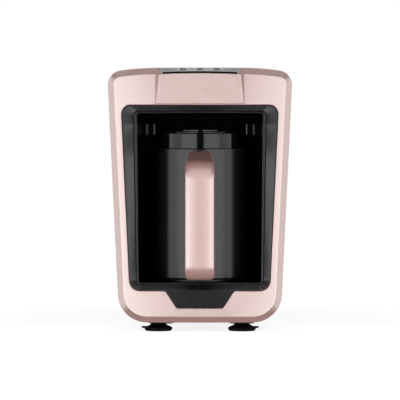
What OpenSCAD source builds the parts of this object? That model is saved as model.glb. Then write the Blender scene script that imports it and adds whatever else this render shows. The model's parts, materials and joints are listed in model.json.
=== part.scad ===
// Electric coffee maker for small pots: a tapered, bevelled front frame around an open
// bay, a rear housing with the electronics, and a heated pot that pulls out to the front.
// Millimetres, +Z up, the front faces -Y. Inside the modules y = 0 is the middle of the
// front face and z = 0 is the table; place() then moves the origin under the model.

/* [Body] */
// Width of the front across its top edge, before the corners are rounded
body_top_w = 164; // [158:1:180]
// Width of the front across its bottom edge, before the corners are rounded
body_bottom_w = 143.5; // [138:0.5:156]
// Height of the body's underside above the table
body_bottom = 9; // [7:0.5:14]
// Height of the top of the body above the table
body_top = 235; // [230:1:250]
// Depth of the body from its front face to its back
body_d = 165; // [155:1:200]
// Radius of the two upper corners of the front
corner_top_r = 10.5; // [6:0.5:16]
// Radius of the two lower corners of the front
corner_bottom_r = 26; // [18:1:34]
// Width and depth of the 45 degree bevel round the front face
bevel = 5.5; // [3:0.5:7]
// Radius that breaks the edges of the bevel
edge_r = 1.4; // [0.5:0.1:2.5]
// How far the top edge falls towards the upper corners
crown = 2; // [0:0.5:4]
// How far the front face bows back at its sides
face_bow = 3; // [0:0.5:5]
// Depth of the front frame from the face to the seam
frame_d = 24; // [22:0.5:26]
// Wall thickness of the front frame and the rear housing
wall = 2.5; // [2:0.1:3.2]
// How much the rear housing narrows towards the back on each side
draft = 3; // [1:0.5:6]
// Gap between the pieces that meet at a visible seam
seam = 0.3; // [0.2:0.05:0.5]

/* [Bezel] */
// Height of the face above the bezel
forehead_h = 33.3; // [31:0.1:37]
// Height of the face below the bezel, beside the tab
chin_h = 28.5; // [26:0.1:32]
// Width of the frame beside the bezel's upper edge
border_top_w = 10.8; // [10:0.1:14]
// Width of the frame beside the bezel's lower edge
border_bottom_w = 11; // [10:0.1:14]
// Radius of the bezel's upper corners
bezel_top_r = 8; // [4:0.5:12]
// Radius of the bezel's lower corners
bezel_bottom_r = 9.5; // [4:0.5:14]
// How far the bezel slopes in from the face to the mouth of the bay
bezel_slope_d = 6.2; // [4:0.1:7]
// How far the bezel's outer edge lies behind the face
bezel_recess = 0.6; // [0.2:0.1:1.2]
// How far the tab reaches below the bezel
tab_h = 15.4; // [12:0.1:18]
// Width of the tab where it leaves the bezel
tab_top_w = 61; // [50:0.5:66]
// Width of the tab at its lower end
tab_bottom_w = 41; // [32:0.5:46]
// Radius of the tab's lower corners
tab_r = 3; // [1:0.5:5]

/* [Bay] */
// Width of the bezel's band beside the bay's upper corners
band_top_w = 14.1; // [11:0.1:16]
// Width of the bezel's band beside the bay's lower corners
band_bottom_w = 7.7; // [6:0.1:10]
// Height of the bezel's band above the bay
band_top_h = 7.1; // [6:0.1:9]
// Height of the bezel's band below the bay
band_bottom_h = 6.6; // [6:0.1:9]
// Gap between the pot's jacket and the bay's back wall
back_gap = 6; // [4.5:0.1:12]
// Wall thickness of the bay liner
liner_wall = 2; // [1.6:0.1:2.4]
// Height of the sensor pods
pod_h = 10.2; // [8:0.1:11]
// Distance from the bay's ceiling down to the sensor pods
pod_drop = 9.6; // [7:0.1:13]
// Gap between the pot's collar and the tip of a sensor pod
pod_gap = 5.5; // [4:0.1:8]
// Length of the sensor pods from front to back
pod_l = 22; // [14:1:30]
// Length of the slimmer nose at the tip of a sensor pod
pod_nose = 7.5; // [5:0.1:9]

/* [Hood and controls] */
// Width of the hood where it meets the face
hood_w = 78.6; // [77:0.1:84]
// Width of the hood's front at its upper edge
hood_top_w = 71.4; // [70:0.1:75]
// How far the hood stands out of the face at its upper edge
hood_out = 5; // [3:0.1:7]
// How far the hood stands out of the face at its lower edge
hood_foot_out = 0.8; // [0.4:0.1:1.5]
// How far the middle of the hood's upper edge lies below the top of the body
hood_drop = 4.6; // [3:0.1:7]
// How far the hood's upper edge falls towards its ends
hood_arch = 0.9; // [0.4:0.1:2]
// Width of the control panel
panel_w = 72; // [66:0.5:73]
// Depth of the control panel from front to back
panel_d = 16; // [15:0.1:17]
// Angle at which the control panel tips towards the front
panel_tilt = 12; // [8:0.5:14]
// Depth of the control panel's front edge behind the face
panel_y = 4; // [3.6:0.1:4.5]
// Thickness of the control panel
panel_t = 2.4; // [2:0.1:3]
// Diameter of the buttons
button_d = 7; // [5:0.1:8]
// Distance between the centres of neighbouring buttons
button_pitch = 15; // [12:0.1:18]
// Travel of the buttons
button_travel = 0.8; // [0.4:0.1:1]
// Height of the buttons' edges above the panel
button_proud = 0.5; // [0.3:0.1:1]
// Rise of the buttons' domed tops
button_dome = 0.6; // [0.2:0.1:0.8]
// Width of the light rings round the buttons
light_ring_w = 1; // [0.6:0.1:1.4]

/* [Pot] */
// Outer radius of the pot's jacket
pot_r = 40.5; // [38:0.1:41]
// Gap between the pot's lid and the bay's ceiling
lid_gap = 13.7; // [12.5:0.1:20]
// Depth of the pot's axis behind the front face
pot_y = 60; // [58:0.5:61]
// Wall thickness of the pot's jacket
jacket_wall = 2; // [1.6:0.1:2.4]
// Step from the jacket in to the collar on top of it
collar_step = 6; // [4:0.1:8]
// Height of the collar above the jacket
collar_h = 13.5; // [12:0.1:14.5]
// Wall thickness of the collar
collar_wall = 2.2; // [1.8:0.1:3]
// Wall thickness of the steel bowl
bowl_wall = 1; // [0.6:0.1:1.4]
// Height of the bowl's floor above the pot's underside
bowl_z = 24; // [22:0.5:30]
// Width of the collar's rim from the outside to the mouth
rim_w = 7.5; // [5.5:0.1:8]
// How far the lid's rim laps over the edge of the mouth
lid_lap = 1.5; // [1.5:0.1:3]
// Rise of the lid's top above the collar
lid_rise = 4; // [3:0.1:5]
// Radius of the raised middle of the lid
lid_boss_r = 21; // [18:0.1:23]
// Depth of the lid's skirt below the collar's top
lid_skirt = 6.5; // [5:0.1:7]
// Height of the ring that the pot rests on
rest_h = 2.2; // [1.5:0.1:2.5]

/* [Handle] */
// Width of the handle
handle_w = 26; // [22:0.5:30]
// How far the handle stands out of the front face
handle_out = 16; // [12:0.5:20]
// Thickness of the handle
handle_t = 11; // [10:0.1:12]
// Thickness of the handle's outer shell
shell_t = 7.5; // [7:0.1:8]
// Radius of the handle's long edges
handle_r = 3.4; // [2:0.1:4]
// Outer radius of the handle's upper bend
bend_top_r = 18.8; // [16:0.1:22]
// Outer radius of the handle's lower bend
bend_bottom_r = 15; // [13:0.1:18]
// Slope of the handle's upper arm
arm_slope = 18; // [15:0.5:26]
// Width of the handle's upper arm where it meets the pot
arm_root_w = 21; // [18:0.5:26]

/* [Feet] */
// Distance from the side of the base plate in to a foot's axis
foot_inset = 12.5; // [11:0.1:16]
// Distance from the front of the base plate back to the front feet
foot_front_inset = 7.8; // [7:0.1:16]
// Distance from the back of the base plate forward to the rear feet
foot_rear_inset = 14; // [8:0.5:20]
// Diameter of the foot's lip
foot_d = 25; // [20:0.5:28]
// Diameter of the foot's neck
foot_neck_d = 13; // [11:0.5:16]

/* [Hidden] */

$fn = 64;
// Segments in a rounded corner and in half of a straight edge of the lofted outlines
corner_n = 8;
edge_n = 5;
// Outward swell of the long straight edges
edge_swell = 0.06;
// Clearance of pieces that slide or press past each other, and of pieces that only sit together
slip = 0.3;
seat = 0.1;
// Oversize that lets a cutter pass through a face
cut = 1;

gland_out = 2;
mid_y = (body_d + gland_out - handle_out) / 2;

side_tilt = atan((body_top_w - body_bottom_w) / 2 / (body_top - body_bottom));
crown_x = 0.4 * body_top_w;
low_corner_x = corner_x(body_bottom_w / 2, corner_bottom_r, side_tilt);

bezel_top = body_top - forehead_h;
bezel_bottom = body_bottom + chin_h;
bezel_top_w = 2 * (side_x(bezel_top) - border_top_w);
bezel_bottom_w = 2 * (side_x(bezel_bottom) - border_bottom_w);
tab_bottom = bezel_bottom - tab_h;
mouth_y = bezel_recess + bezel_slope_d;
bezel_back = mouth_y + 2.6;

bay_ceiling = bezel_top - band_top_h;
bay_floor = bezel_bottom + band_bottom_h;
bay_top_w = bezel_top_w - 2 * band_top_w;
bay_bottom_w = bezel_bottom_w - 2 * band_bottom_w;
bay_d = pot_y + pot_r + back_gap;
hood_top = body_top - hood_drop;

pot_bottom = bay_floor + rest_h + slip;
pot_h = bay_ceiling - lid_gap - lid_rise - slip - collar_h - pot_bottom;
pot_top = pot_bottom + pot_h;
collar_r = pot_r - collar_step;
bowl_r = collar_r - collar_wall - seat;
mouth_r = collar_r - rim_w;
lid_r = mouth_r + lid_lap;
pod_tip = collar_r + pod_gap;
pod_z = bay_ceiling - pod_drop - pod_h;
collar_top = pot_top + collar_h;
bowl_floor = pot_bottom + bowl_z;
heater_t = 2.5;
base_t = 2.6;

panel_back = panel_y + panel_d;
panel_rise = panel_d * tan(panel_tilt);
panel_front_z = body_top - panel_rise - 0.1;
pocket_lip = 3;
board_drop = 10;
board_t = 1.6;

ledge_t = 2.5;
base_plate_t = 2.5;
base_half_w = low_corner_x + 3;
base_front = frame_d + 3.2;
base_rear_gap = 13;
base_back = body_d - base_rear_gap;
ledge_w = 6;
foot_x = base_half_w - foot_inset;
foot_front_y = base_front + foot_front_inset;
foot_rear_y = base_back - foot_rear_inset;

screw_d = 3;
screw_head_d = 5.4;
screw_head_h = 1.6;

plug_w = 26;
plug_h = 15;
plug_wall = 2;
plug_z = pot_bottom + 4;
plug_back = pot_y + pot_r + 3.5;
plug_front = pot_y + pot_r - 12;
plug_floor_y = pot_y + pot_r - 6;
contact_d = 3;
contact_pitch = 6.4;
plug_mid_z = plug_z + plug_h / 2;

socket_tip = plug_floor_y + 1.5;
socket_flange = 3;
liner_back = bay_d + liner_wall;

board_gap = 8;
board_y = liner_back + board_gap;
board_w = 84;
board_z = plug_z + plug_h + 12;
board_h = 82;

board_post_inset = 5;
board_margin = 12;

// Parts on the power board: width, height and depth, and where their lower left corners lie
// from the board's own
relay_w = 19;
relay_h = 15;
relay_t = 13.9;
relay_x = 8;
relay_z = 12;
core_w = 24;
core_h = 22;
core_t = 6;
core_x = board_w - board_margin - core_w;
core_z = 40;
coil_margin = 3;
coil_t = 12;
terminal_w = 22;
terminal_h = 10;
terminal_t = 10;
terminal_x = board_w - board_margin - terminal_w;
terminal_z = 4;
fuse_w = 24;
fuse_h = 7;
fuse_t = 7;
fuse_x = board_w - board_margin - fuse_w;
fuse_z = 22;
film_w = 18;
film_h = 8;
film_t = 8;
film_x = board_margin;
film_z = 33;
can_d = 9;
can_h = 16;
can_x = 16;
can_z = 52;
can_pitch = 14;

arm_drop = 2.4;
arm_top_z = pot_top - arm_drop;
handle_bottom = pot_bottom + 0.2;
screw_top_z = arm_top_z - 7.6;
screw_low_z = handle_bottom + 5.2;

pink = "#d9bab5";
satin_black = "#1b1b1c";
gloss_black = "#0d0d0f";
bezel_grey = "#3a3a3b";

// ---------- shared shapes ----------

function lerp(a, b, t) = a + (b - a) * t;

// Points of an arc from angle a0 to a1 in n steps
function arc(cx, cz, r, a0, a1, n) =
    [for (i = [0:n]) let (a = lerp(a0, a1, i / n)) [cx + r * cos(a), cz + r * sin(a)]];

// Moulded edges swell a little towards their middle, here at point i of half an edge
function swell(i) = edge_swell * (1 - pow(i / edge_n, 2));

// How far the crowned top edge has fallen at x
function fall(x, drop) = drop * pow(abs(x) / crown_x, 4);

// A trapezoid with rounded corners as [x, z] points, anticlockwise from the middle of its
// lower edge. w0 and w1 are its half widths at z0 and z1, r0 and r1 its corner radii.
function trapezoid(z0, z1, w0, w1, r0, r1, drop = 0) =
    let (
        tilt = atan((w1 - w0) / (z1 - z0)),
        x0 = corner_x(w0, r0, tilt),
        x1 = corner_x(w1, r1, -tilt),
        low = [for (i = [0:edge_n - 1]) [x0 * i / edge_n, z0 - swell(i)]],
        high = [for (i = [edge_n - 1:-1:0]) [x1 * i / edge_n, z1 + swell(i)]],
        upper = concat(arc(x1, z1 - r1, r1, -tilt, 90, corner_n), high),
        half = concat(low, arc(x0, z0 + r0, r0, -90, -tilt, corner_n),
                      [for (p = upper) [p[0], p[1] - fall(p[0], drop)]])
    )
    concat(half, [for (i = [len(half) - 2:-1:1]) [-half[i][0], half[i][1]]]);

// Half width of the body's side line at height z
function side_x(z) = body_bottom_w / 2 + (z - body_bottom) * tan(side_tilt);

// Centre of the arc of radius r in a lower corner, where the side starts at w and leans by tilt
function corner_x(w, r, tilt) = w + r * tan(tilt) - r / cos(tilt);

// The body's outline, moved in by inset, with its sides and top moved in by taper as well
function body_outline(inset, taper = 0) =
    let (
        z0 = body_bottom + inset,
        z1 = body_top - inset - taper,
        step = (inset + taper) / cos(side_tilt)
    )
    trapezoid(z0, z1, side_x(z0) - step, side_x(z1) - step,
              max(corner_bottom_r - inset, 1), max(corner_top_r - inset, 1), crown);

// The bezel's outer outline, moved out by grow
function bezel_outline(grow) =
    trapezoid(bezel_bottom - grow, bezel_top + grow, bezel_bottom_w / 2 + grow,
              bezel_top_w / 2 + grow, bezel_bottom_r + grow, bezel_top_r + grow);

// The bay's outline, moved out by grow
function bay_outline(grow) =
    trapezoid(bay_floor - grow, bay_ceiling + grow, bay_bottom_w / 2 + grow,
              bay_top_w / 2 + grow, 2 + grow, 2 + grow);

// An outline part of the way from outline a to outline b
function between(a, b, t) = [for (i = [0:len(a) - 1]) lerp(a[i], b[i], t)];

// An outline as a ring in space at depth y, bowed back towards its sides
function ring(outline, y, bow = 0) =
    [for (p = outline) [p[0], y + bow * pow(p[0] / (body_top_w / 2), 2), p[1]]];

function reversed(list) = [for (i = [len(list) - 1:-1:0]) list[i]];

// A skin through rings of equal length, whose outer side runs from front to back. A closed
// one returns to its first ring, and an open one ends in two flat caps.
module loft(rings, closed = false) {
    n = len(rings[0]);
    m = len(rings);
    bands = closed ? m : m - 1;
    sides = [for (j = [0:bands - 1], i = [0:n - 1])
        let (a = j * n + i, b = j * n + (i + 1) % n, k = (j + 1) % m)
        each [[a, b, k * n + (i + 1) % n], [a, k * n + (i + 1) % n, k * n + i]]];
    caps = closed ? [] : [[for (i = [n - 1:-1:0]) i], [for (i = [0:n - 1]) (m - 1) * n + i]];
    polyhedron([for (r = rings, p = r) p], concat(sides, caps), convexity = 8);
}

// A box from its lowest to its highest corner
module block(low, high) {
    translate(low) cube(high - low);
}

// A cylinder along +Y from y0 to y1
module rod(x, z, y0, y1, d) {
    translate([x, y0, z]) rotate([-90, 0, 0]) cylinder(d = d, h = y1 - y0);
}

// A YZ profile drawn out across the width w, centred on x = 0
module across(w, profile) {
    translate([-w / 2, 0, 0]) rotate([90, 0, 90]) linear_extrude(w) polygon(profile);
}

// A screw along +Z with its head's top at z = 0 and its tip at z = -l
module screw(l) {
    translate([0, 0, -screw_head_h]) cylinder(d = screw_head_d, h = screw_head_h);
    translate([0, 0, -l]) cylinder(d = screw_d, h = l - screw_head_h);
}

// The place of a piece in the model's own frame
module place() {
    translate([0, -mid_y, 0]) children();
}

// ---------- front frame ----------

frame_post_d = 8;
frame_post_back = frame_d - seam / 2;
// How far the posts run into the wall, and the length of the housing's posts
post_bite = 0.7;
post_l = 16;
frame_screw_l = 26;
frame_posts = [
    [corner_frame_x(), corner_frame_z()], [-corner_frame_x(), corner_frame_z()],
    [upper_post_x(), upper_post_z()], [-upper_post_x(), upper_post_z()]
];

// Screw posts stand in the corners and run a little into the wall
function corner_frame_z() = body_bottom + corner_bottom_r - corner_reach() * sin(45);
function corner_frame_x() = low_corner_x + corner_reach() * cos(45);
function corner_reach() = corner_bottom_r - wall - frame_post_d / 2 + post_bite;
function upper_post_z() = body_top - crown - wall - frame_post_d / 2 - 6;
function upper_post_x() =
    side_x(upper_post_z()) - (wall + frame_post_d / 2 - post_bite) / cos(side_tilt);

// Edge points of the bevel as [inset, depth]: rim, bevel and face with their broken edges
function bevel_profile() =
    let (s = edge_r * tan(22.5))
    concat(
        [for (i = [0:2]) let (a = i * 22.5)
            [edge_r * (1 - cos(a)), bevel + s - edge_r * sin(a)]],
        [for (i = [0:2]) let (a = 45 + i * 22.5)
            [bevel + s - edge_r * cos(a), edge_r * (1 - sin(a))]]
    );

// The arched surface that cuts off the hood's upper edge, as a long drum
module arch_drum(y0, y1) {
    half = hood_top_w / 2;
    r = (half * half + hood_arch * hood_arch) / (2 * hood_arch);
    translate([0, y0, hood_top - r]) rotate([-90, 0, 0]) cylinder(r = r, h = y1 - y0, $fn = 360);
}

module hood() {
    foot_z = bezel_top + 1;
    back = panel_y - slip;
    lean = atan((hood_out - hood_foot_out) / (hood_top - foot_z));
    side = (hood_w - hood_top_w) / 2;
    intersection() {
        across(hood_w, [[back, foot_z], [back, body_top], [-hood_out, body_top],
                        [-hood_out, hood_top], [-hood_foot_out, foot_z]]);
        // The side walls are drafted planes that close in towards the hood's upper edge
        rotate([90, 0, 0]) translate([0, 0, -back])
            linear_extrude(back + hood_out)
                polygon([[-hood_w / 2, foot_z], [hood_w / 2, foot_z],
                         [hood_w / 2, body_top], [-hood_w / 2, body_top]]);
        hood_flanks(foot_z, side);
        arch_drum(-hood_out - cut, back + cut);
    }
}

// A wedge whose flanks run from the hood's foot line on the face to its front edge
module hood_flanks(foot_z, side) {
    back = panel_y - slip;
    function section(z) =
        let (out = lerp(hood_foot_out, hood_out, (z - foot_z) / (hood_top - foot_z)),
             front = hood_w / 2 - side * out / hood_out)
        [[-hood_w / 2, back, z], [-front, -out - 0.01, z], [front, -out - 0.01, z],
         [hood_w / 2, back, z], [hood_w / 2, 0, z], [-hood_w / 2, 0, z]];
    low = section(foot_z);
    high = section(body_top);
    hull() {
        loft([
            [low[0], low[5], low[1], low[2], low[4], low[3]],
            [high[0], high[5], high[1], high[2], high[4], high[3]]
        ]);
    }
}

// The recess in the top that holds the control panel, with a narrower gap above the hood
module panel_pocket() {
    half = panel_w / 2 + seat;
    low = panel_front_z - 8;
    block([-half, panel_y - slip, low], [half, panel_back + seat, body_top + cut]);
    difference() {
        block([-half + pocket_lip, -hood_out - cut, low], [half - pocket_lip, panel_y, body_top + cut]);
        arch_drum(-hood_out - 2 * cut, panel_y - slip);
    }
}

function tab_outline(grow) =
    let (
        run = (tab_top_w - tab_bottom_w) / 2,
        rise = bezel_bottom - tab_bottom,
        lean = atan(run / rise),
        r = tab_r + grow,
        z0 = tab_bottom - grow,
        w0 = tab_bottom_w / 2 + grow / cos(lean) - grow * tan(lean),
        x0 = corner_x(w0, r, lean),
        top_z = bezel_bottom + 2,
        top_x = w0 + (top_z - z0) * tan(lean),
        corner = arc(x0, z0 + r, r, -90, -lean, corner_n)
    )
    concat(corner, [[top_x, top_z], [-top_x, top_z]],
           [for (i = [corner_n:-1:0]) [-corner[i][0], corner[i][1]]]);

// The tab's outline drawn out from depth y0 to y1
module tab_prism(grow, y0, y1) {
    translate([0, y1, 0]) rotate([90, 0, 0]) linear_extrude(y1 - y0) polygon(tab_outline(grow));
}

module front_frame() {
    lip = 0.8;
    back = frame_d - seam / 2;
    opening_back = bezel_back - 1;
    place() color(pink) {
        difference() {
            union() {
                loft(reversed(concat(
                    [ring(body_outline(0.5), back), ring(body_outline(0), back - 0.6)],
                    [for (p = bevel_profile()) ring(body_outline(p[0]), p[1], face_bow)],
                    [ring(bezel_outline(seat + lip), 0, face_bow),
                     ring(bezel_outline(seat), lip, face_bow),
                     ring(bezel_outline(seat), opening_back),
                     ring(bezel_outline(seat + wall), opening_back),
                     ring(bezel_outline(seat + wall), wall + 1, face_bow),
                     ring(body_outline(wall + bevel), wall + 1, face_bow),
                     ring(body_outline(wall), bevel + wall + 1, face_bow),
                     ring(body_outline(wall), back)]
                )), closed = true);
                hood();
                for (p = frame_posts) rod(p[0], p[1], wall + face_bow, frame_post_back, frame_post_d);
            }
            panel_pocket();
            tab_prism(seat, -cut, wall + 4);
            for (p = frame_posts) rod(p[0], p[1], frame_d - 12, frame_d + cut, screw_d + 2 * seat);
        }
    }
}

// ---------- rear housing and base ----------

module housing_shell() {
    front = frame_d + seam / 2;
    loft([
        ring(body_outline(wall + 4, draft), body_d - wall),
        ring(body_outline(wall, draft), body_d - wall - 5),
        ring(body_outline(wall), front),
        ring(body_outline(0.5), front),
        ring(body_outline(0.05), front + 0.6),
        ring(body_outline(0, draft), body_d - 8),
        ring(body_outline(1.2, draft), body_d - 3.5),
        ring(body_outline(3.2, draft), body_d - 1),
        ring(body_outline(6.5, draft), body_d)
    ]);
}

base_screw_x = base_half_w - ledge_w / 2 - 0.5;
base_screw_inset = 26;
base_screw_ys = [base_front + base_screw_inset, (base_front + base_back) / 2,
                 base_back - base_screw_inset];
base_screw_places = [for (x = [-base_screw_x, base_screw_x], y = base_screw_ys) [x, y]];
base_screw_l = 9;

gland_x = 42;
gland_z = body_bottom + 24;
gland_d = 13;
vent_w = 46;
vent_h = 2.6;
vent_pitch = 6;
vent_count = 8;
vent_drop = 92;
vent_z = body_top - vent_drop;

module housing_vents() {
    for (i = [0:vent_count - 1])
        block([-vent_w / 2, body_d - wall - cut - 1, vent_z + i * vent_pitch],
              [vent_w / 2, body_d + cut, vent_z + i * vent_pitch + vent_h]);
}

module rear_housing() {
    front = frame_d + seam / 2;
    ledge_z = body_bottom + base_plate_t + seat;
    boss_top = ledge_z + ledge_t + 5;
    place() color(pink) {
        difference() {
            union() {
                housing_shell();
                block([-base_half_w - 5, front, ledge_z],
                      [base_half_w + 5, base_back + 5, ledge_z + ledge_t]);
                for (p = base_screw_places)
                    translate([p[0], p[1], ledge_z]) cylinder(d = 7, h = boss_top - ledge_z);
                for (p = frame_posts) rod(p[0], p[1], front, front + post_l, frame_post_d);
            }
            // Pocket for the base plate, with the opening above it
            block([-base_half_w - slip, base_front - slip, body_bottom - cut],
                  [base_half_w + slip, base_back + slip, ledge_z]);
            block([-base_half_w + ledge_w, base_front + ledge_w, body_bottom],
                  [base_half_w - ledge_w, base_back - ledge_w, ledge_z + ledge_t + cut]);
            for (p = base_screw_places)
                translate([p[0], p[1], ledge_z - cut])
                    cylinder(d = screw_d + 2 * seat, h = base_screw_l + cut);
            for (p = foot_places)
                translate([p[0], p[1], ledge_z - cut])
                    cylinder(d = foot_stud_d + 2 * (foot_barb + slip), h = ledge_t + 2 * cut);
            for (p = frame_posts)
                rod(p[0], p[1], front - cut, front + post_l + cut, screw_d + 2 * seat);
            rod(gland_x, gland_z, body_d - wall - 3, body_d + cut, gland_d + 2 * seat);
            housing_vents();
        }
    }
}

foot_places = [[-foot_x, foot_front_y], [foot_x, foot_front_y],
               [-foot_x, foot_rear_y], [foot_x, foot_rear_y]];
foot_stud_d = 8;
foot_barb = 0.8;

module base_plate() {
    slots = 7;
    slot_pitch = 7;
    slot_l = 28;
    slot_w = 2.8;
    rib_x = 18;
    rib_t = 2;
    rib_h = 5;
    rib_gap = 2;
    slot_mid = (foot_front_y + foot_rear_y) / 2;
    place() color(satin_black) difference() {
        union() {
            block([-base_half_w, base_front, body_bottom],
                  [base_half_w, base_back, body_bottom + base_plate_t]);
            // Ribs that stiffen the plate from inside
            for (x = [-rib_x, rib_x])
                block([x - rib_t / 2, base_front + ledge_w + rib_gap, body_bottom],
                      [x + rib_t / 2, base_back - ledge_w - rib_gap,
                       body_bottom + base_plate_t + rib_h]);
        }
        for (p = foot_places)
            translate([p[0], p[1], body_bottom - cut])
                cylinder(d = foot_stud_d + 2 * seat, h = base_plate_t + 2 * cut);
        for (p = base_screw_places) translate([p[0], p[1], body_bottom]) {
            translate([0, 0, -cut]) cylinder(d = screw_d + 2 * seat, h = base_plate_t + 2 * cut);
            translate([0, 0, -cut]) cylinder(d = screw_head_d + 2 * seat, h = screw_head_h + seat + cut);
        }
        for (i = [0:slots - 1])
            translate([0, slot_mid + (i - (slots - 1) / 2) * slot_pitch, body_bottom])
                block([-slot_l / 2, -slot_w / 2, -cut], [slot_l / 2, slot_w / 2, base_plate_t + cut]);
    }
}

module base_screws() {
    place() color("silver") for (p = base_screw_places)
        translate([p[0], p[1], body_bottom + 0.1]) rotate([180, 0, 0]) screw(base_screw_l);
}

module frame_screws() {
    head_y = frame_d + seam / 2 + post_l + screw_head_h;
    place() color("silver") for (p = frame_posts)
        translate([p[0], head_y, p[1]]) rotate([-90, 0, 0]) screw(frame_screw_l);
}

// A soft foot: a wide lip with a hollow underside, a neck, and a stud through the plate
module foot(x, y) {
    lip = foot_d / 2;
    neck = foot_neck_d / 2;
    tab_side = x < 0 ? 180 : 0;
    place() color(gloss_black) translate([x, y, 0]) {
        rotate_extrude() polygon(concat(
            [[0, 1.2], [lip - 4.5, 1.2], [lip - 3, 0], [lip - 1.2, 0]],
            arc(lip - 1.6, 2, 1.6, -60, 60, 4),
            [[neck + 2, 5], [neck, 6.2], [neck, body_bottom],
             [foot_stud_d / 2, body_bottom], [foot_stud_d / 2, body_bottom + base_plate_t],
             [foot_stud_d / 2 + foot_barb, body_bottom + base_plate_t + 0.3],
             [foot_stud_d / 2 - 0.6, body_bottom + base_plate_t + 2.5],
             [0, body_bottom + base_plate_t + 2.5]]
        ));
        // Pull tab that lifts the lip off a smooth table
        rotate([0, 0, tab_side]) block([lip - 2, -2.5, 2.4], [lip + 2.4, 2.5, 4]);
    }
}
module foot_front_left() { foot(-foot_x, foot_front_y); }
module foot_front_right() { foot(foot_x, foot_front_y); }
module foot_rear_left() { foot(-foot_x, foot_rear_y); }
module foot_rear_right() { foot(foot_x, foot_rear_y); }

module cord_gland() {
    bore = 6.8;
    place() color(satin_black) translate([gland_x, 0, gland_z]) difference() {
        union() {
            rod(0, 0, body_d - 14, body_d, gland_d);
            rod(0, 0, body_d, body_d + gland_out, gland_d + 6);
            rod(0, 0, body_d - 14, body_d - wall - seat, gland_d + 4);
        }
        rod(0, 0, body_d - 15, body_d + gland_out + cut, bore);
    }
}

// ---------- bezel and bay ----------

module bezel() {
    outer = bezel_outline(0);
    inner = bay_outline(0);
    groove = 0.9;
    // Each entry is [share of the way to the bay, depth, share of the face's bow]
    profile = [
        [0, bezel_back, 0], [0, bezel_recess + 0.7, 1], [0.05, bezel_recess, 1],
        [0.74, mouth_y, 0.2], [0.76, mouth_y + groove, 0.2], [0.81, mouth_y + groove, 0.1],
        [0.83, mouth_y, 0.1], [0.96, mouth_y, 0], [1, mouth_y + 0.6, 0], [1, bezel_back, 0]
    ];
    place() color(bezel_grey) {
        difference() {
            union() {
                loft([for (p = reversed(profile))
                    ring(between(outer, inner, p[0]), p[1], p[2] * face_bow)], closed = true);
                difference() {
                    tab_prism(0, bezel_recess, bezel_recess + 3);
                    block([-tab_top_w, -cut, bezel_bottom + 1], [tab_top_w, 10, bezel_top]);
                }
            }
        }
    }
}

module cavity_liner() {
    front = bezel_back;
    flange = 4;
    narrow = 1.6;
    // The floor stays level, and the other walls close in a little towards the back
    function deep(grow) = trapezoid(bay_floor - grow, bay_ceiling - narrow + grow,
        bay_bottom_w / 2 - narrow + grow, bay_top_w / 2 - narrow + grow, 2 + grow, 2 + grow);
    window_w = plug_w + 2 * slip;
    place() color("#101011") difference() {
        union() {
            loft([
                ring(deep(0), bay_d), ring(bay_outline(0), front),
                ring(bay_outline(flange), front), ring(bay_outline(flange), front + liner_wall),
                ring(bay_outline(liner_wall), front + liner_wall), ring(deep(liner_wall), liner_back)
            ]);
            for (p = power_posts()) rod(p[0], p[1], liner_back - cut, board_y, 7);
        }
        socket_window();
        for (p = power_posts()) rod(p[0], p[1], liner_back + 0.5, board_y + cut, screw_d + 2 * seat);
    }
}

function power_posts() =
    [for (x = [-1, 1], z = [board_z + board_post_inset, board_z + board_h - board_post_inset])
        [x * (board_w / 2 - board_post_inset), z]];

// Plan of a sensor pod on the right: a stem on the wall and a slimmer nose towards the pot
function pod_plan(wall_x) =
    let (tip = pod_tip, step_x = tip + pod_nose, step = 3, front = pot_y - pod_l / 2,
         back = pot_y + pod_l / 2)
    concat(
        [[wall_x, back], [tip + 2.2, back]],
        [for (i = [0:4]) let (a = 90 + i * 22.5)
            [tip + 2.2 + 2.2 * cos(a), back - 2.2 + 2.2 * sin(a)]],
        [for (i = [0:4]) let (a = 180 + i * 22.5)
            [tip + 2.2 + 2.2 * cos(a), front + step + 2.2 + 2.2 * sin(a)]],
        [[step_x, front + step]],
        [for (i = [0:3]) let (a = 180 + i * 30)
            [step_x + 1.2 + 1.2 * cos(a), front + 1.2 + 1.2 * sin(a)]],
        [[wall_x, front]]
    );

module sensor_pod(side) {
    wall_x = bay_top_w / 2 - 3;
    place() color(gloss_black) intersection() {
        translate([0, 0, pod_z]) linear_extrude(pod_h)
            polygon([for (p = pod_plan(wall_x + 4)) [side * p[0], p[1]]]);
        loft([bay_ring(pot_y - pod_l, seat), bay_ring(pot_y + pod_l, seat)]);
    }
}

// The bay's inner surface at depth y, moved in by gap
function bay_ring(y, gap) =
    let (t = (y - bezel_back) / (bay_d - bezel_back), narrow = 1.6 * t + gap)
    ring(trapezoid(bay_floor, bay_ceiling - narrow, bay_bottom_w / 2 - narrow,
                   bay_top_w / 2 - narrow, 2, 2), y);

module sensor_pod_left() { sensor_pod(-1); }
module sensor_pod_right() { sensor_pod(1); }

module pot_rest_ring() {
    outer = pot_r - 6;
    place() color("#202022") translate([0, pot_y, bay_floor]) rotate_extrude()
        polygon([[outer - 6, 0], [outer, 0], [outer, rest_h - 0.6], [outer - 0.6, rest_h],
                 [outer - 5.4, rest_h], [outer - 6, rest_h - 0.6]]);
}

// ---------- connector between pot and body ----------

socket_w = plug_w - 2 * plug_wall - 2 * slip;
socket_h = plug_h - 2 * plug_wall - 2 * slip;
contact_xs = [-contact_pitch, 0, contact_pitch];

module socket_window() {
    block([-socket_w / 2 - seat, bay_d - cut, plug_mid_z - socket_h / 2 - seat],
          [socket_w / 2 + seat, liner_back + cut, plug_mid_z + socket_h / 2 + seat]);
}

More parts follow.
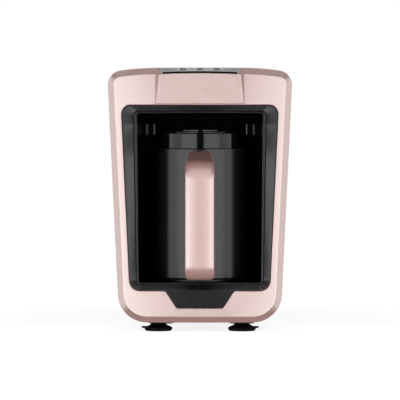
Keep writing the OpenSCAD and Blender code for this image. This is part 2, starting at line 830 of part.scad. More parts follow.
module pot_socket() {
    flange = 4;
    place() color(satin_black) difference() {
        union() {
            block([-socket_w / 2, socket_tip, plug_mid_z - socket_h / 2],
                  [socket_w / 2, liner_back + socket_flange, plug_mid_z + socket_h / 2]);
            block([-socket_w / 2 - flange, liner_back, plug_mid_z - socket_h / 2 - flange],
                  [socket_w / 2 + flange, liner_back + socket_flange, plug_mid_z + socket_h / 2 + flange]);
        }
        for (x = contact_xs) rod(x, plug_mid_z, socket_tip - cut, liner_back + 5, contact_d + 2 * slip);
    }
}

module socket_contacts() {
    place() color("#c9a24a") for (x = contact_xs)
        rod(x, plug_mid_z, plug_back + 1.5, liner_back + 7, contact_d);
}

module plug_contacts() {
    place() color("#c9a24a") for (x = contact_xs)
        rod(x, plug_mid_z, plug_front - 3, plug_back - 0.5, contact_d);
}

module pot_plug() {
    place() color(satin_black) difference() {
        block([-plug_w / 2, plug_front, plug_z], [plug_w / 2, plug_back, plug_z + plug_h]);
        block([-plug_w / 2 + plug_wall, plug_floor_y, plug_z + plug_wall],
              [plug_w / 2 - plug_wall, plug_back + cut, plug_z + plug_h - plug_wall]);
        for (x = contact_xs) rod(x, plug_mid_z, plug_front - cut, plug_back, contact_d + 2 * seat);
    }
}

// ---------- controls ----------

// Children are drawn with x and y along the panel's surface, z out of it, and the origin
// at the middle of the row of buttons
module on_panel() {
    translate([0, panel_y, panel_front_z]) rotate([panel_tilt, 0, 0])
        translate([0, button_along, 0]) children();
}

// Depth and height of the point that lies along and up from on_panel()'s origin
function panel_point(along, up) =
    let (a = along + button_along)
    [panel_y + a * cos(panel_tilt) - up * sin(panel_tilt),
     panel_front_z + a * sin(panel_tilt) + up * cos(panel_tilt)];

button_xs = [-button_pitch, 0, button_pitch];
button_flange_d = button_d + 1.8;
button_hole_d = button_d + 2 * slip;
ring_outer_d = button_hole_d + 2 * light_ring_w + 2 * seat;
panel_leg_x = panel_w / 2 - 5;
button_along = (panel_d - ring_outer_d / 2 - 1) / cos(panel_tilt);

module control_panel() {
    back_z = panel_front_z + panel_rise;
    skirt = 5.5;
    place() color(gloss_black) {
        difference() {
            union() {
                across(panel_w, [
                    [panel_y, panel_front_z], [panel_back, back_z],
                    [panel_back, back_z - panel_t], [panel_y + 1.8, panel_front_z - panel_t],
                    [panel_y + 1.8, panel_front_z - skirt], [panel_y, panel_front_z - skirt]
                ]);
                // Legs that carry the control board
                on_panel() for (x = [-panel_leg_x, panel_leg_x])
                    translate([x, -2, -board_drop]) cylinder(d = 6, h = board_drop - panel_t / 2);
            }
            on_panel() {
                for (x = button_xs) translate([x, 0, -panel_t - 2 * cut])
                    cylinder(d = button_hole_d, h = panel_t + 4 * cut);
                for (x = button_xs) translate([x, 0, -1])
                    cylinder(d = ring_outer_d + 2 * seat, h = 1 + cut);
                for (x = [-panel_leg_x, panel_leg_x]) translate([x, -2, -board_drop - cut])
                    cylinder(d = screw_d + 2 * seat, h = board_drop - panel_t);
            }
        }
    }
}

module light_rings() {
    place() color("#e8edf0") on_panel() for (x = button_xs) translate([x, 0, -1])
        difference() {
            cylinder(d = ring_outer_d, h = 1.05);
            translate([0, 0, -cut]) cylinder(d = button_hole_d, h = 1.05 + 2 * cut);
        }
}

switch_h = 4;
switch_w = 6;
stem_d = 2.6;
control_board_front = -8;
control_board_back = 14;
led_d = 3;
led_h = 4.5;
led_gap = 2;
buzzer_d = 12;
buzzer_h = 7;
buzzer_x = 22;
cable_w = 12;

module control_board() {
    place() color("#1f5a36") on_panel() difference() {
        block([-panel_w / 2 + 1, control_board_front, -board_drop - board_t],
              [panel_w / 2 - 1, control_board_back, -board_drop]);
        for (x = [-panel_leg_x, panel_leg_x]) translate([x, -2, -board_drop - 2 * board_t])
            cylinder(d = screw_d + 2 * seat, h = 3 * board_t);
    }
}

module button_switches() {
    place() color("#2a2a2c") on_panel() for (x = button_xs) translate([x, 0, -board_drop])
        difference() {
            block([-switch_w / 2, -switch_w / 2, 0], [switch_w / 2, switch_w / 2, switch_h]);
            translate([0, 0, 1]) cylinder(d = stem_d + 2 * slip, h = switch_h);
        }
}

module status_leds() {
    place() color("#f4f6ff") on_panel() for (x = button_xs)
        translate([x + switch_w / 2 + led_gap, led_d, -board_drop]) cylinder(d = led_d, h = led_h);
}

module buzzer() {
    place() color("#151515") on_panel()
        translate([buzzer_x, control_board_back - buzzer_d / 2 - 1, -board_drop - board_t - buzzer_h])
            cylinder(d = buzzer_d, h = buzzer_h);
}

// A button: domed cap, retaining flange under the panel and a stem into its switch
module button(x) {
    flange_top = -panel_t / cos(panel_tilt) - slip;
    flange_t = 1;
    stem_end = -board_drop + 1 + button_travel + slip;
    r = button_d / 2;
    place() color(gloss_black) on_panel() translate([x, 0, 0]) rotate_extrude() polygon(concat(
        [[0, stem_end], [stem_d / 2, stem_end], [stem_d / 2, flange_top - flange_t],
         [button_flange_d / 2, flange_top - flange_t], [button_flange_d / 2, flange_top],
         [r, flange_top]],
        [[r, button_proud - 0.2]],
        [for (i = [0:6]) let (a = 15 * i) [(r - 0.2) * cos(a), button_proud + button_dome * sin(a)]]
    ));
}
module button_left() { button(-button_pitch); }
module button_center() { button(0); }
module button_right() { button(button_pitch); }

// ---------- power electronics ----------

module power_board() {
    place() color("#1f5a36") difference() {
        block([-board_w / 2, board_y, board_z], [board_w / 2, board_y + board_t, board_z + board_h]);
        for (p = power_posts()) rod(p[0], p[1], board_y - cut, board_y + board_t + cut,
                                    screw_d + 2 * seat);
    }
}

// A part of size w, h, t on the back of the power board, lifted off it by up
module on_board(x, z, w, h, t, up = 0) {
    low = [x - board_w / 2, board_y + board_t + up, board_z + z];
    block(low, low + [w, t, h]);
}

module relay() {
    place() color("#20457a") on_board(relay_x, relay_z, relay_w, relay_h, relay_t);
}

module power_transformer() {
    place() color("#c8b04a") {
        on_board(core_x, core_z, core_w, core_h, core_t);
        on_board(core_x + coil_margin, core_z + coil_margin, core_w - 2 * coil_margin,
                 core_h - 2 * coil_margin, coil_t, core_t);
    }
}

// Terminal block, fuse holder, film capacitor and two smoothing capacitors
module power_components() {
    back = board_y + board_t;
    place() color("#3b3f46") {
        on_board(terminal_x, terminal_z, terminal_w, terminal_h, terminal_t);
        on_board(fuse_x, fuse_z, fuse_w, fuse_h, fuse_t);
        on_board(film_x, film_z, film_w, film_h, film_t);
        for (i = [0, 1])
            rod(can_x + i * can_pitch - board_w / 2, board_z + can_z, back, back + can_h, can_d);
    }
}

module board_screws() {
    place() color("silver") {
        for (p = power_posts()) translate([p[0], board_y + board_t + 1.65, p[1]])
            rotate([-90, 0, 0]) screw(8.5);
        on_panel() for (x = [-panel_leg_x, panel_leg_x])
            translate([x, -2, -board_drop - board_t - 1.65]) rotate([180, 0, 0]) screw(8);
    }
}

// A flat cable from the control board's rear edge over the bay and down to the power board
module ribbon_cable() {
    t = 1;
    tail = 2;
    plug = 6;
    back = board_y + board_t;
    start_y = panel_point(control_board_back, -board_drop - board_t)[0] + seat;
    start_z = panel_point(control_board_back, -board_drop)[1];
    top_z = bay_ceiling + liner_wall;
    end_z = board_z + board_h - plug - tail;
    place() color("#8d9096") translate([-cable_w / 2, 0, 0]) across(cable_w, [
        [start_y, start_z], [start_y + t, start_z], [start_y + t, top_z + t],
        [back + t + tail, top_z + t], [back + t + tail, end_z], [back, end_z],
        [back, end_z + plug], [back + tail, end_z + plug], [back + tail, top_z], [start_y, top_z]
    ]);
}

// ---------- pot ----------

module pot_jacket() {
    inner = pot_r - jacket_wall;
    plug_gap = seat;
    place() color(satin_black) translate([0, pot_y, 0]) difference() {
        rotate_extrude() polygon([
            [inner, pot_bottom], [pot_r - 1, pot_bottom], [pot_r, pot_bottom + 1],
            [pot_r, pot_top - 0.8], [pot_r - 0.8, pot_top], [inner, pot_top]
        ]);
        translate([0, -pot_y, 0])
            block([-plug_w / 2 - plug_gap, plug_front, plug_z - plug_gap],
                  [plug_w / 2 + plug_gap, pot_y + pot_r + cut, plug_z + plug_h + plug_gap]);
        for (z = [screw_top_z, screw_low_z])
            rod(0, z, -pot_r - cut, -inner + cut, screw_d + 2 * seat);
    }
}

module pot_collar() {
    rim_t = 2;
    seat_r = pot_r - jacket_wall - seat;
    place() color(gloss_black) translate([0, pot_y, 0]) rotate_extrude() polygon([
        [bowl_r + seat, pot_top - 4], [seat_r, pot_top - 4], [seat_r, pot_top - 0.4],
        [collar_r, pot_top - 0.4], [collar_r, collar_top - 0.6], [collar_r - 0.6, collar_top],
        [mouth_r, collar_top], [mouth_r, collar_top - rim_t], [bowl_r + seat, collar_top - rim_t]
    ]);
}

module collar_gasket() {
    t = 1.5;
    place() color("#a8a8a4") translate([0, pot_y, pot_top - 4 - t]) difference() {
        cylinder(r = pot_r - jacket_wall - seat, h = t);
        translate([0, 0, -cut]) cylinder(r = bowl_r + seat, h = t + 2 * cut);
    }
}

module pot_bowl() {
    inner = bowl_r - bowl_wall;
    heel = 6;
    top = collar_top - 2 - seat;
    place() color("#b9bcc0") translate([0, pot_y, 0]) rotate_extrude() polygon(concat(
        [[0, bowl_floor - bowl_wall]],
        arc(bowl_r - heel, bowl_floor - bowl_wall + heel, heel, -90, 0, 6),
        [[bowl_r, top], [inner, top]],
        [for (p = arc(bowl_r - heel, bowl_floor - bowl_wall + heel, heel - bowl_wall, 0, -90, 6)) p],
        [[0, bowl_floor]]
    ));
}

module heating_element() {
    under = bowl_floor - bowl_wall - seat;
    tube_r = 2.8;
    place() color("#9a9a96") translate([0, pot_y, under]) {
        translate([0, 0, -heater_t]) cylinder(r = bowl_r - 6.5, h = heater_t);
        translate([0, 0, -heater_t - tube_r + 1]) rotate_extrude()
            translate([heater_loop_r, 0]) circle(r = tube_r, $fn = 24);
        for (x = [-1, 1]) translate([x * heater_loop_r, 0, -heater_t - 8])
            cylinder(d = 3, h = 7);
    }
}

module thermostat() {
    top = bowl_floor - bowl_wall - seat - heater_t - seat;
    place() color("#d8d2c0") translate([0, pot_y, top - 6]) {
        cylinder(d = 15, h = 6);
        for (x = [-5, 5]) translate([x - 1.5, -0.4, -4]) cube([3, 0.8, 4]);
    }
}

pot_base_r = pot_r - jacket_wall - seat;
post_angles = [60, 180, 300];
post_d = 6.4;
pot_screw_l = 13;
heater_loop_r = bowl_r - 15;
post_r = heater_loop_r + post_d;
plate_under = bowl_floor - bowl_wall - seat - heater_t - seat;

module pot_base() {
    place() color(satin_black) translate([0, pot_y, 0]) difference() {
        union() {
            translate([0, 0, pot_bottom]) cylinder(r = pot_base_r, h = base_t);
            for (a = post_angles) rotate([0, 0, a]) translate([post_r, 0, pot_bottom])
                cylinder(d = post_d, h = plate_under - pot_bottom);
        }
        for (a = post_angles) rotate([0, 0, a]) translate([post_r, 0, pot_bottom - cut]) {
            cylinder(d = screw_d + 2 * seat, h = pot_screw_l + cut + 1);
            cylinder(d = screw_head_d + 2 * seat, h = screw_head_h + 2 * seat + cut);
        }
    }
}

module pot_base_screws() {
    place() color("silver") translate([0, pot_y, 0]) for (a = post_angles)
        rotate([0, 0, a]) translate([post_r, 0, pot_bottom + 0.1])
            rotate([180, 0, 0]) screw(pot_screw_l);
}

// The lid: a flat rim on the collar, a raised middle with a rounded edge, and a skirt that
// reaches into the mouth
module pot_lid() {
    rest_z = collar_top + slip;
    top_z = rest_z + lid_rise;
    skirt_r = mouth_r - slip;
    skirt_wall = 1.6;
    rim_t = 1;
    top_t = 2.2;
    edge_w = 2.6;
    edge_h = 1.5;
    edge = [for (i = [0:6]) let (a = 15 * i)
        [lid_boss_r - edge_w * (1 - cos(a)), top_z - edge_h * (1 - sin(a))]];
    place() color(gloss_black) translate([0, pot_y, 0]) rotate_extrude() polygon(concat(
        [[0, top_z - top_t], [lid_boss_r - edge_w, top_z - top_t], [lid_boss_r - 2, rest_z],
         [skirt_r - skirt_wall, rest_z], [skirt_r - skirt_wall, collar_top - lid_skirt],
         [skirt_r, collar_top - lid_skirt], [skirt_r, rest_z], [lid_r - 0.3, rest_z],
         [lid_r, rest_z + 0.3], [lid_r, rest_z + rim_t - 0.3], [lid_r - 0.3, rest_z + rim_t],
         [lid_boss_r + 0.4, rest_z + rim_t], [lid_boss_r, rest_z + rim_t + 0.4]],
        edge, [[0, top_z]]
    ));
}

// ---------- handle ----------

// Stations of the handle's outer surface as [y, z, angle of the outward normal], from the
// upper arm's root round the front to the lower arm's root
function handle_path() =
    let (
        root_y = pot_y - pot_r + 6,
        front_y = -handle_out,
        top_a = 90 + arm_slope,
        c1_y = front_y + bend_top_r,
        arm_y = c1_y + bend_top_r * cos(top_a),
        rise = (pot_y - pot_r - arm_y) * tan(arm_slope),
        c1_z = arm_top_z - rise - bend_top_r * sin(top_a),
        c2_y = front_y + bend_bottom_r,
        c2_z = handle_bottom + bend_bottom_r
    )
    concat(
        [[root_y, arm_top_z + (root_y - pot_y + pot_r) * tan(arm_slope), top_a]],
        [for (i = [0:8]) let (a = lerp(top_a, 180, i / 8))
            [c1_y + bend_top_r * cos(a), c1_z + bend_top_r * sin(a), a]],
        [for (i = [0:8]) let (a = lerp(180, 270, i / 8))
            [c2_y + bend_bottom_r * cos(a), c2_z + bend_bottom_r * sin(a), a]],
        [[root_y, handle_bottom, 270]]
    );

// Cross-section of a shell from depth d0 to d1 below the handle's outer surface, with its
// long edges rounded by r0 on the outside and r1 on the inside
function shell_section(d0, d1, r0, r1) =
    let (
        w = handle_w / 2,
        outer = [for (i = [0:4]) let (a = 90 * i / 4) [w - r0 + r0 * sin(90 - a), d0 + r0 - r0 * sin(a)]],
        inner = [for (i = [0:4]) let (a = 90 * i / 4) [w - r1 + r1 * sin(a), d1 - r1 + r1 * cos(a)]],
        half = concat(inner, outer)
    )
    concat(half, [for (i = [len(half) - 1:-1:0]) [-half[i][0], half[i][1]]]);

module handle_shell(d0, d1, r0, r1) {
    section = shell_section(d0, d1, r0, r1);
    path = handle_path();
    place() difference() {
        loft([for (i = [0:len(path) - 1], s = [path[i]])
            [for (p = section)
                [p[0] * (i == 0 ? arm_root_w / handle_w : 1),
                 s[0] - p[1] * cos(s[2]), s[1] - p[1] * sin(s[2])]]]);
        translate([0, pot_y, 0]) cylinder(r = pot_r + seat, h = body_top, $fn = 96);
        for (z = [screw_top_z, screw_low_z])
            rod(0, z, pot_y - pot_r - 9, pot_y, screw_d + 2 * seat);
    }
}

module handle_outer() { color(pink) handle_shell(0, shell_t, handle_r, 0.01); }
module handle_inner() { color(satin_black) handle_shell(shell_t, handle_t, 0.01, 1.8); }

module handle_screws() {
    place() color("silver") for (z = [screw_top_z, screw_low_z])
        translate([0, pot_y - pot_r + jacket_wall + 1.8, z]) rotate([-90, 0, 0]) screw(10);
}

// ---------- nodes ----------

front_frame();
rear_housing();
base_plate();
bezel();
cavity_liner();
sensor_pod_left();
sensor_pod_right();
pot_rest_ring();
pot_socket();
socket_contacts();
control_panel();
light_rings();
control_board();
button_switches();
status_leds();
buzzer();
power_board();
relay();
power_transformer();
power_components();
ribbon_cable();
cord_gland();
foot_front_left();
foot_front_right();
foot_rear_left();
foot_rear_right();
base_screws();
frame_screws();
board_screws();
button_left();
button_center();
button_right();
pot_jacket();
pot_collar();
collar_gasket();
pot_bowl();
heating_element();
thermostat();
pot_base();
pot_base_screws();
pot_plug();
plug_contacts();
handle_outer();
handle_inner();
handle_screws();
pot_lid();
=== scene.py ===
import json
import math

import bmesh
import bpy
from mathutils import Matrix, Vector

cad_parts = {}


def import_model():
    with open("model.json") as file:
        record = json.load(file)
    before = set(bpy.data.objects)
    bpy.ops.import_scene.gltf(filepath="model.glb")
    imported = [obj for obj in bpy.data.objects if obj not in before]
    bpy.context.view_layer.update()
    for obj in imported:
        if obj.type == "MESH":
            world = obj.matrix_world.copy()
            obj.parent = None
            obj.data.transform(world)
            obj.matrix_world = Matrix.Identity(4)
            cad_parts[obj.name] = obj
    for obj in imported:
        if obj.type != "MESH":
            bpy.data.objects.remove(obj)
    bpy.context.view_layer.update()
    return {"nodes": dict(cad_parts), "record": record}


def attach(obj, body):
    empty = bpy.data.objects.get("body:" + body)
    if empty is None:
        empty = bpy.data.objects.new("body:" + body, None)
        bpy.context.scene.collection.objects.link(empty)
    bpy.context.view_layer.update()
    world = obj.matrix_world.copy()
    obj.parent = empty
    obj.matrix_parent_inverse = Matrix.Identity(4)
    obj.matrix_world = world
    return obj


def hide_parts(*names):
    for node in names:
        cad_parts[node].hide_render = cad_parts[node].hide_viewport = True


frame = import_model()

# Every size below is in millimetres, with y = 0 on the middle of the front face and z = 0 on
# the table. world() turns such a point into the frame's metres.
MM = 0.001

# ---------------------------------------------------------------- sizes shared with the CAD

SEAT, SLIP = 0.1, 0.3

# Body
BODY_TOP_W, BODY_BOTTOM_W = 164.0, 143.5
BODY_BOTTOM, BODY_TOP, BODY_D = 9.0, 235.0, 165.0
CORNER_TOP_R, CORNER_BOTTOM_R = 10.5, 26.0
BEVEL, EDGE_R, CROWN, BOW = 5.5, 1.4, 2.0, 3.0
FRAME_D, WALL, DRAFT, SEAM = 24.0, 2.5, 3.0, 0.3
VENTS, VENT_W, VENT_H, VENT_PITCH, VENT_DROP = 8, 46.0, 2.6, 6.0, 92.0
GLAND_X, GLAND_Z, GLAND_D, GLAND_OUT = 42.0, BODY_BOTTOM + 24, 13.0, 2.0
BASE_W, BASE_T, BASE_FRONT, BASE_BACK = 100.0, 2.5, FRAME_D + 3.2, BODY_D - 13
SIDE_SLOPE = (BODY_TOP_W - BODY_BOTTOM_W) / 2 / (BODY_TOP - BODY_BOTTOM)
CROWN_X = 0.4 * BODY_TOP_W


def side_x(z):
    """Half width of the body's side line at height z."""
    return BODY_BOTTOM_W / 2 + (z - BODY_BOTTOM) * SIDE_SLOPE


# Bezel with its tab, and the bay behind it
FOREHEAD_H, CHIN_H, BORDER_TOP_W, BORDER_BOTTOM_W = 33.3, 28.5, 10.8, 11.0
BAND_TOP_W, BAND_BOTTOM_W, BAND_TOP_H, BAND_BOTTOM_H = 14.1, 7.7, 7.1, 6.6
BEZEL_TOP_R, BEZEL_BOTTOM_R, BEZEL_RECESS, BEZEL_SLOPE = 8.0, 9.5, 0.6, 6.2
TAB_H, TAB_TOP_W, TAB_BOTTOM_W, TAB_R = 15.4, 61.0, 41.0, 3.0
BEZEL_TOP, BEZEL_BOTTOM = BODY_TOP - FOREHEAD_H, BODY_BOTTOM + CHIN_H
BEZEL_TOP_W = 2 * (side_x(BEZEL_TOP) - BORDER_TOP_W)
BEZEL_BOTTOM_W = 2 * (side_x(BEZEL_BOTTOM) - BORDER_BOTTOM_W)
MOUTH_Y = BEZEL_RECESS + BEZEL_SLOPE
BEZEL_BACK = MOUTH_Y + 2.6
TAB_BOTTOM = BEZEL_BOTTOM - TAB_H
BAY_FLOOR, BAY_CEILING = BEZEL_BOTTOM + BAND_BOTTOM_H, BEZEL_TOP - BAND_TOP_H
BAY_TOP_W, BAY_BOTTOM_W = BEZEL_TOP_W - 2 * BAND_TOP_W, BEZEL_BOTTOM_W - 2 * BAND_BOTTOM_W

# Hood and controls
HOOD_W, HOOD_TOP_W, HOOD_OUT, HOOD_FOOT_OUT, HOOD_ARCH = 78.6, 71.4, 5.0, 0.8, 0.9
PANEL_W, PANEL_D, PANEL_TILT, PANEL_Y, PANEL_T = 72.0, 16.0, 12.0, 4.0, 2.4
PANEL_SKIRT_T, PANEL_SKIRT_H, POCKET_LIP = 1.8, 5.5, 3.0
BUTTON_D, BUTTON_PITCH, BUTTON_PROUD, BUTTON_END = 7.0, 15.0, 0.5, -7.9
BUTTON_STEM_R, BUTTON_FLANGE_W, BUTTON_FLANGE_T = 1.3, 0.9, 1.0
RING_W, RING_SUNK, RING_PROUD = 1.0, 1.0, 0.05
RING_INNER_D = BUTTON_D + 2 * SLIP
RING_OUTER_D = RING_INNER_D + 2 * RING_W + 2 * SEAT
BUTTON_XS = (-BUTTON_PITCH, 0.0, BUTTON_PITCH)
PANEL_FRONT_Z = BODY_TOP - PANEL_D * math.tan(math.radians(PANEL_TILT)) - 0.1
BUTTON_ALONG = (PANEL_D - RING_OUTER_D / 2 - 1) / math.cos(math.radians(PANEL_TILT))

# Pot
POT_R, POT_Y, JACKET_WALL, REST_H, REST_W = 40.5, 60.0, 2.0, 2.2, 6.0
COLLAR_STEP, COLLAR_H, COLLAR_WALL, RIM_W, RIM_T = 6.0, 13.5, 2.2, 7.5, 2.0
LID_GAP, LID_LAP, LID_BOSS_R, LID_RISE, LID_SKIRT = 13.7, 1.5, 21.0, 4.0, 6.5
LID_T, LID_RIM_T, LID_SKIRT_T, LID_EDGE_W, LID_EDGE_H = 2.2, 1.0, 1.6, 2.6, 1.5
COLLAR_R = POT_R - COLLAR_STEP
BOWL_R, MOUTH_R = COLLAR_R - COLLAR_WALL - SEAT, COLLAR_R - RIM_W
LID_R = MOUTH_R + LID_LAP
POT_BOTTOM = BAY_FLOOR + REST_H + SLIP
COLLAR_TOP = BAY_CEILING - LID_GAP - LID_RISE - SLIP
POT_TOP = COLLAR_TOP - COLLAR_H
PLUG_W, PLUG_H, PLUG_Z, PLUG_FRONT = 26.0, 15.0, POT_BOTTOM + 4, POT_Y + POT_R - 12
POD_TIP, POD_L, POD_NOSE, POD_STEP = COLLAR_R + 5.5, 22.0, 7.5, 3.0
POD_TOP, POD_H, POD_R, POD_STEP_R = BAY_CEILING - 9.6, 10.2, 2.2, 1.2

# Handle
HANDLE_W, HANDLE_OUT, HANDLE_T, SHELL_T, HANDLE_R = 26.0, 16.0, 11.0, 7.5, 3.4
BEND_TOP_R, BEND_BOTTOM_R, ARM_SLOPE, ARM_DROP, ARM_ROOT_W = 18.8, 15.0, 18.0, 2.4, 21.0
ARM_ROOT_DEPTH = 6.0

# Feet
FOOT_X, FOOT_FRONT_Y, FOOT_REAR_Y = 37.4, BASE_FRONT + 7.8, BASE_BACK - 14
FOOT_D, FOOT_NECK_D = 25.0, 13.0

# The frame's origin lies halfway between the handle's front and the gland's back
MID_Y = (BODY_D + GLAND_OUT - HANDLE_OUT) / 2

# ---------------------------------------------------------------- edges and small forms

# The crowns, the hood's top, the arm's root radius and the dished buttons differ from the CAD.
# SEAM_EDGE says how the edges beside the seam are broken: (inset, distance from the seam).
SEAM_EDGE = ((0.5, 0), (0.12, 0.15), (0, 0.6))
BACK_EDGE_W, BACK_EDGE_D = 6.5, 8.0
TAB_JOIN_R, BEZEL_EDGE_R, OPENING_EDGE_R = 2.5, 0.7, 0.8
HOOD_TOP, HOOD_EDGE, GAP_END_R = BODY_TOP - 5.3, 2.6, 1.6
PANEL_CROWN, PANEL_EASE = 1.0, 0.35
BUTTON_EDGE, BUTTON_DISH = 0.3, 0.5
HANDLE_CROWN, ARM_ROOT_R, INNER_R = 0.9, 4.0, 1.8

# ---------------------------------------------------------------- mesh helpers


def world(p):
    """A point in millimetres as a point of the frame."""
    return (p[0] * MM, (p[1] - MID_Y) * MM, p[2] * MM)


def new_object(name, verts, faces):
    """A closed mesh object from points in millimetres."""
    mesh = bpy.data.meshes.new(name)
    mesh.from_pydata([world(v) for v in verts], [], faces)
    mesh.validate()
    obj = bpy.data.objects.new(name, mesh)
    bpy.context.scene.collection.objects.link(obj)
    tidy(obj)
    return obj


def tidy(obj, weld=2e-6):
    """Welds doubled points and turns every face outwards."""
    bm = bmesh.new()
    bm.from_mesh(obj.data)
    bmesh.ops.remove_doubles(bm, verts=bm.verts, dist=weld)
    bmesh.ops.dissolve_degenerate(bm, edges=bm.edges, dist=weld)
    bmesh.ops.recalc_face_normals(bm, faces=bm.faces)
    bm.to_mesh(obj.data)
    bm.free()


def settle(obj):
    """Applies an object's modifiers to its mesh."""
    depsgraph = bpy.context.evaluated_depsgraph_get()
    mesh = bpy.data.meshes.new_from_object(obj.evaluated_get(depsgraph))
    obj.modifiers.clear()
    old = obj.data
    obj.data = mesh
    bpy.data.meshes.remove(old)


def combine(obj, others, operation):
    """Joins, cuts or trims obj with other closed meshes, and removes those."""
    for other in others:
        modifier = obj.modifiers.new("combine", "BOOLEAN")
        modifier.operation = operation
        modifier.solver = "EXACT"
        modifier.object = other
        settle(obj)
        bpy.data.objects.remove(other)
    tidy(obj)
    return obj


def soften(obj, width, angle, segments):
    """Rounds an object's edges by width millimetres where its faces meet at an angle."""
    modifier = obj.modifiers.new("soften", "BEVEL")
    modifier.width = width * MM
    modifier.segments = segments
    modifier.limit_method = "ANGLE"
    modifier.angle_limit = math.radians(angle)
    modifier.use_clamp_overlap = True
    settle(obj)
    return obj


def shade(obj, sharp):
    """Smooth shading that leaves edges over the given angle crisp and keeps big faces flat."""
    bm = bmesh.new()
    bm.from_mesh(obj.data)
    limit = math.radians(sharp)
    for face in bm.faces:
        face.smooth = True
    for edge in bm.edges:
        edge.smooth = len(edge.link_faces) == 2 and edge.calc_face_angle(0) < limit
    bm.to_mesh(obj.data)
    bm.free()
    modifier = obj.modifiers.new("flat_faces", "WEIGHTED_NORMAL")
    modifier.mode = "FACE_AREA"
    modifier.weight = 100
    modifier.keep_sharp = True
    settle(obj)


def join(obj, others):
    """Puts other meshes into obj as further parts of it."""
    bm = bmesh.new()
    bm.from_mesh(obj.data)
    for other in others:
        bm.from_mesh(other.data)
        bpy.data.objects.remove(other)
    bm.to_mesh(obj.data)
    bm.free()
    return obj


def dress(obj, material, body, slot, *nodes, sharp=38):
    """Finishes a piece: shading, material, the body it rides on and its CAD nodes. Its slot is not
    used.
    """
    shade(obj, sharp)
    obj.data.materials.clear()
    obj.data.materials.append(material)
    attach(obj, body)
    if nodes:
        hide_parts(*nodes)
    return obj


def arc(cx, cz, r, a0, a1, n):
    """Points of an arc round (cx, cz) from angle a0 to a1 in n steps."""
    return [
        (cx + r * math.cos(math.radians(a0 + (a1 - a0) * i / n)),
         cz + r * math.sin(math.radians(a0 + (a1 - a0) * i / n)))
        for i in range(n + 1)
    ]


def loft(name, rings, closed=False):
    """A skin through rings of equal length, closed on itself or capped at both ends."""
    n, m = len(rings[0]), len(rings)
    faces = []
    for j in range(m if closed else m - 1):
        k = (j + 1) % m
        for i in range(n):
            h = (i + 1) % n
            faces.append((j * n + i, j * n + h, k * n + h, k * n + i))
    if not closed:
        faces.append(tuple(range(n)))
        faces.append(tuple((m - 1) * n + i for i in range(n)))
    return new_object(name, [p for row in rings for p in row], faces)


def rounded(points, steps=4):
    """A closed profile of (a, b, radius) points with those corners rounded."""
    out = []
    for i, (a, b, r) in enumerate(points):
        here = Vector((a, b))
        if r <= 0:
            out.append((a, b))
            continue
        before = Vector(points[i - 1][:2]) - here
        after = Vector(points[(i + 1) % len(points)][:2]) - here
        angle = before.angle(after)
        reach = min(r / math.tan(angle / 2), before.length * 0.49, after.length * 0.49)
        radius = reach * math.tan(angle / 2)
        middle = here + (before.normalized() + after.normalized()).normalized() * (
            radius / math.sin(angle / 2))
        start = here + before.normalized() * reach - middle
        end = here + after.normalized() * reach - middle
        turn = math.atan2(start.x * end.y - start.y * end.x, start.dot(end))
        for s in range(steps + 1):
            spin = Matrix.Rotation(turn * s / steps, 2)
            p = middle + spin @ start
            out.append((p.x, p.y))
    return out


def revolve(name, profile, x=0.0, y=0.0, z=0.0, n=96):
    """A closed (radius, height) profile turned round a vertical axis at x, y."""
    rings = []
    for i in range(n):
        a = 2 * math.pi * i / n
        rings.append([(x + r * math.cos(a), y + r * math.sin(a), z + h) for r, h in profile])
    return loft(name, rings, closed=True)


def slab(name, points, y0, y1):
    """An (x, z) outline drawn out from depth y0 to y1."""
    return loft(name, [[(x, y, z) for x, z in points] for y in (y0, y1)])


def block(name, low, high):
    """A box from its lowest to its highest corner."""
    (x0, y0, z0), (x1, y1, z1) = low, high
    return slab(name, [(x0, z0), (x1, z0), (x1, z1), (x0, z1)], y0, y1)


def rod(name, x, z, y0, y1, d, n=48):
    """A round bar along y."""
    return slab(name, arc(x, z, d / 2, 0, 360 - 360 / n, n - 1), y0, y1)


def on_panel(x, along, up):
    """A point on the control panel: across, along and out of its surface."""
    a = math.radians(PANEL_TILT)
    y = (along + BUTTON_ALONG) * math.cos(a) - up * math.sin(a)
    z = (along + BUTTON_ALONG) * math.sin(a) + up * math.cos(a)
    return (x, PANEL_Y + y, PANEL_FRONT_Z + z)


def panel_hole(x, r, low, high, n=64):
    """A cutter for a round hole in the panel between two heights from its surface."""
    rings = []
    for h in (low, high):
        rings.append([on_panel(x + r * math.cos(2 * math.pi * i / n),
                               r * math.sin(2 * math.pi * i / n), h) for i in range(n)])
    return loft("hole", rings)


def panel_revolve(name, profile, x, n=64):
    """A closed (radius, height) profile turned round a button's axis on the panel."""
    rings = []
    for i in range(n):
        a = 2 * math.pi * i / n
        rings.append([on_panel(x + r * math.cos(a), r * math.sin(a), h) for r, h in profile])
    return loft(name, rings, closed=True)


# ---------------------------------------------------------------- outlines of the body

# Steps in a rounded corner, a side, half of the upper edge, half of the tab's lower edge, the
# tab's side, and the lower edge beside the tab
CORNER, SIDE, TOP = 10, 16, 12
TAB_STEPS, TAB_SIDE_STEPS, FOOT_STEPS = 5, 3, 6


def divided(a, b, steps):
    """The points between a and b that divide the line into equal steps."""
    return [(a[0] + (b[0] - a[0]) * i / steps, a[1] + (b[1] - a[1]) * i / steps)
            for i in range(1, steps)]


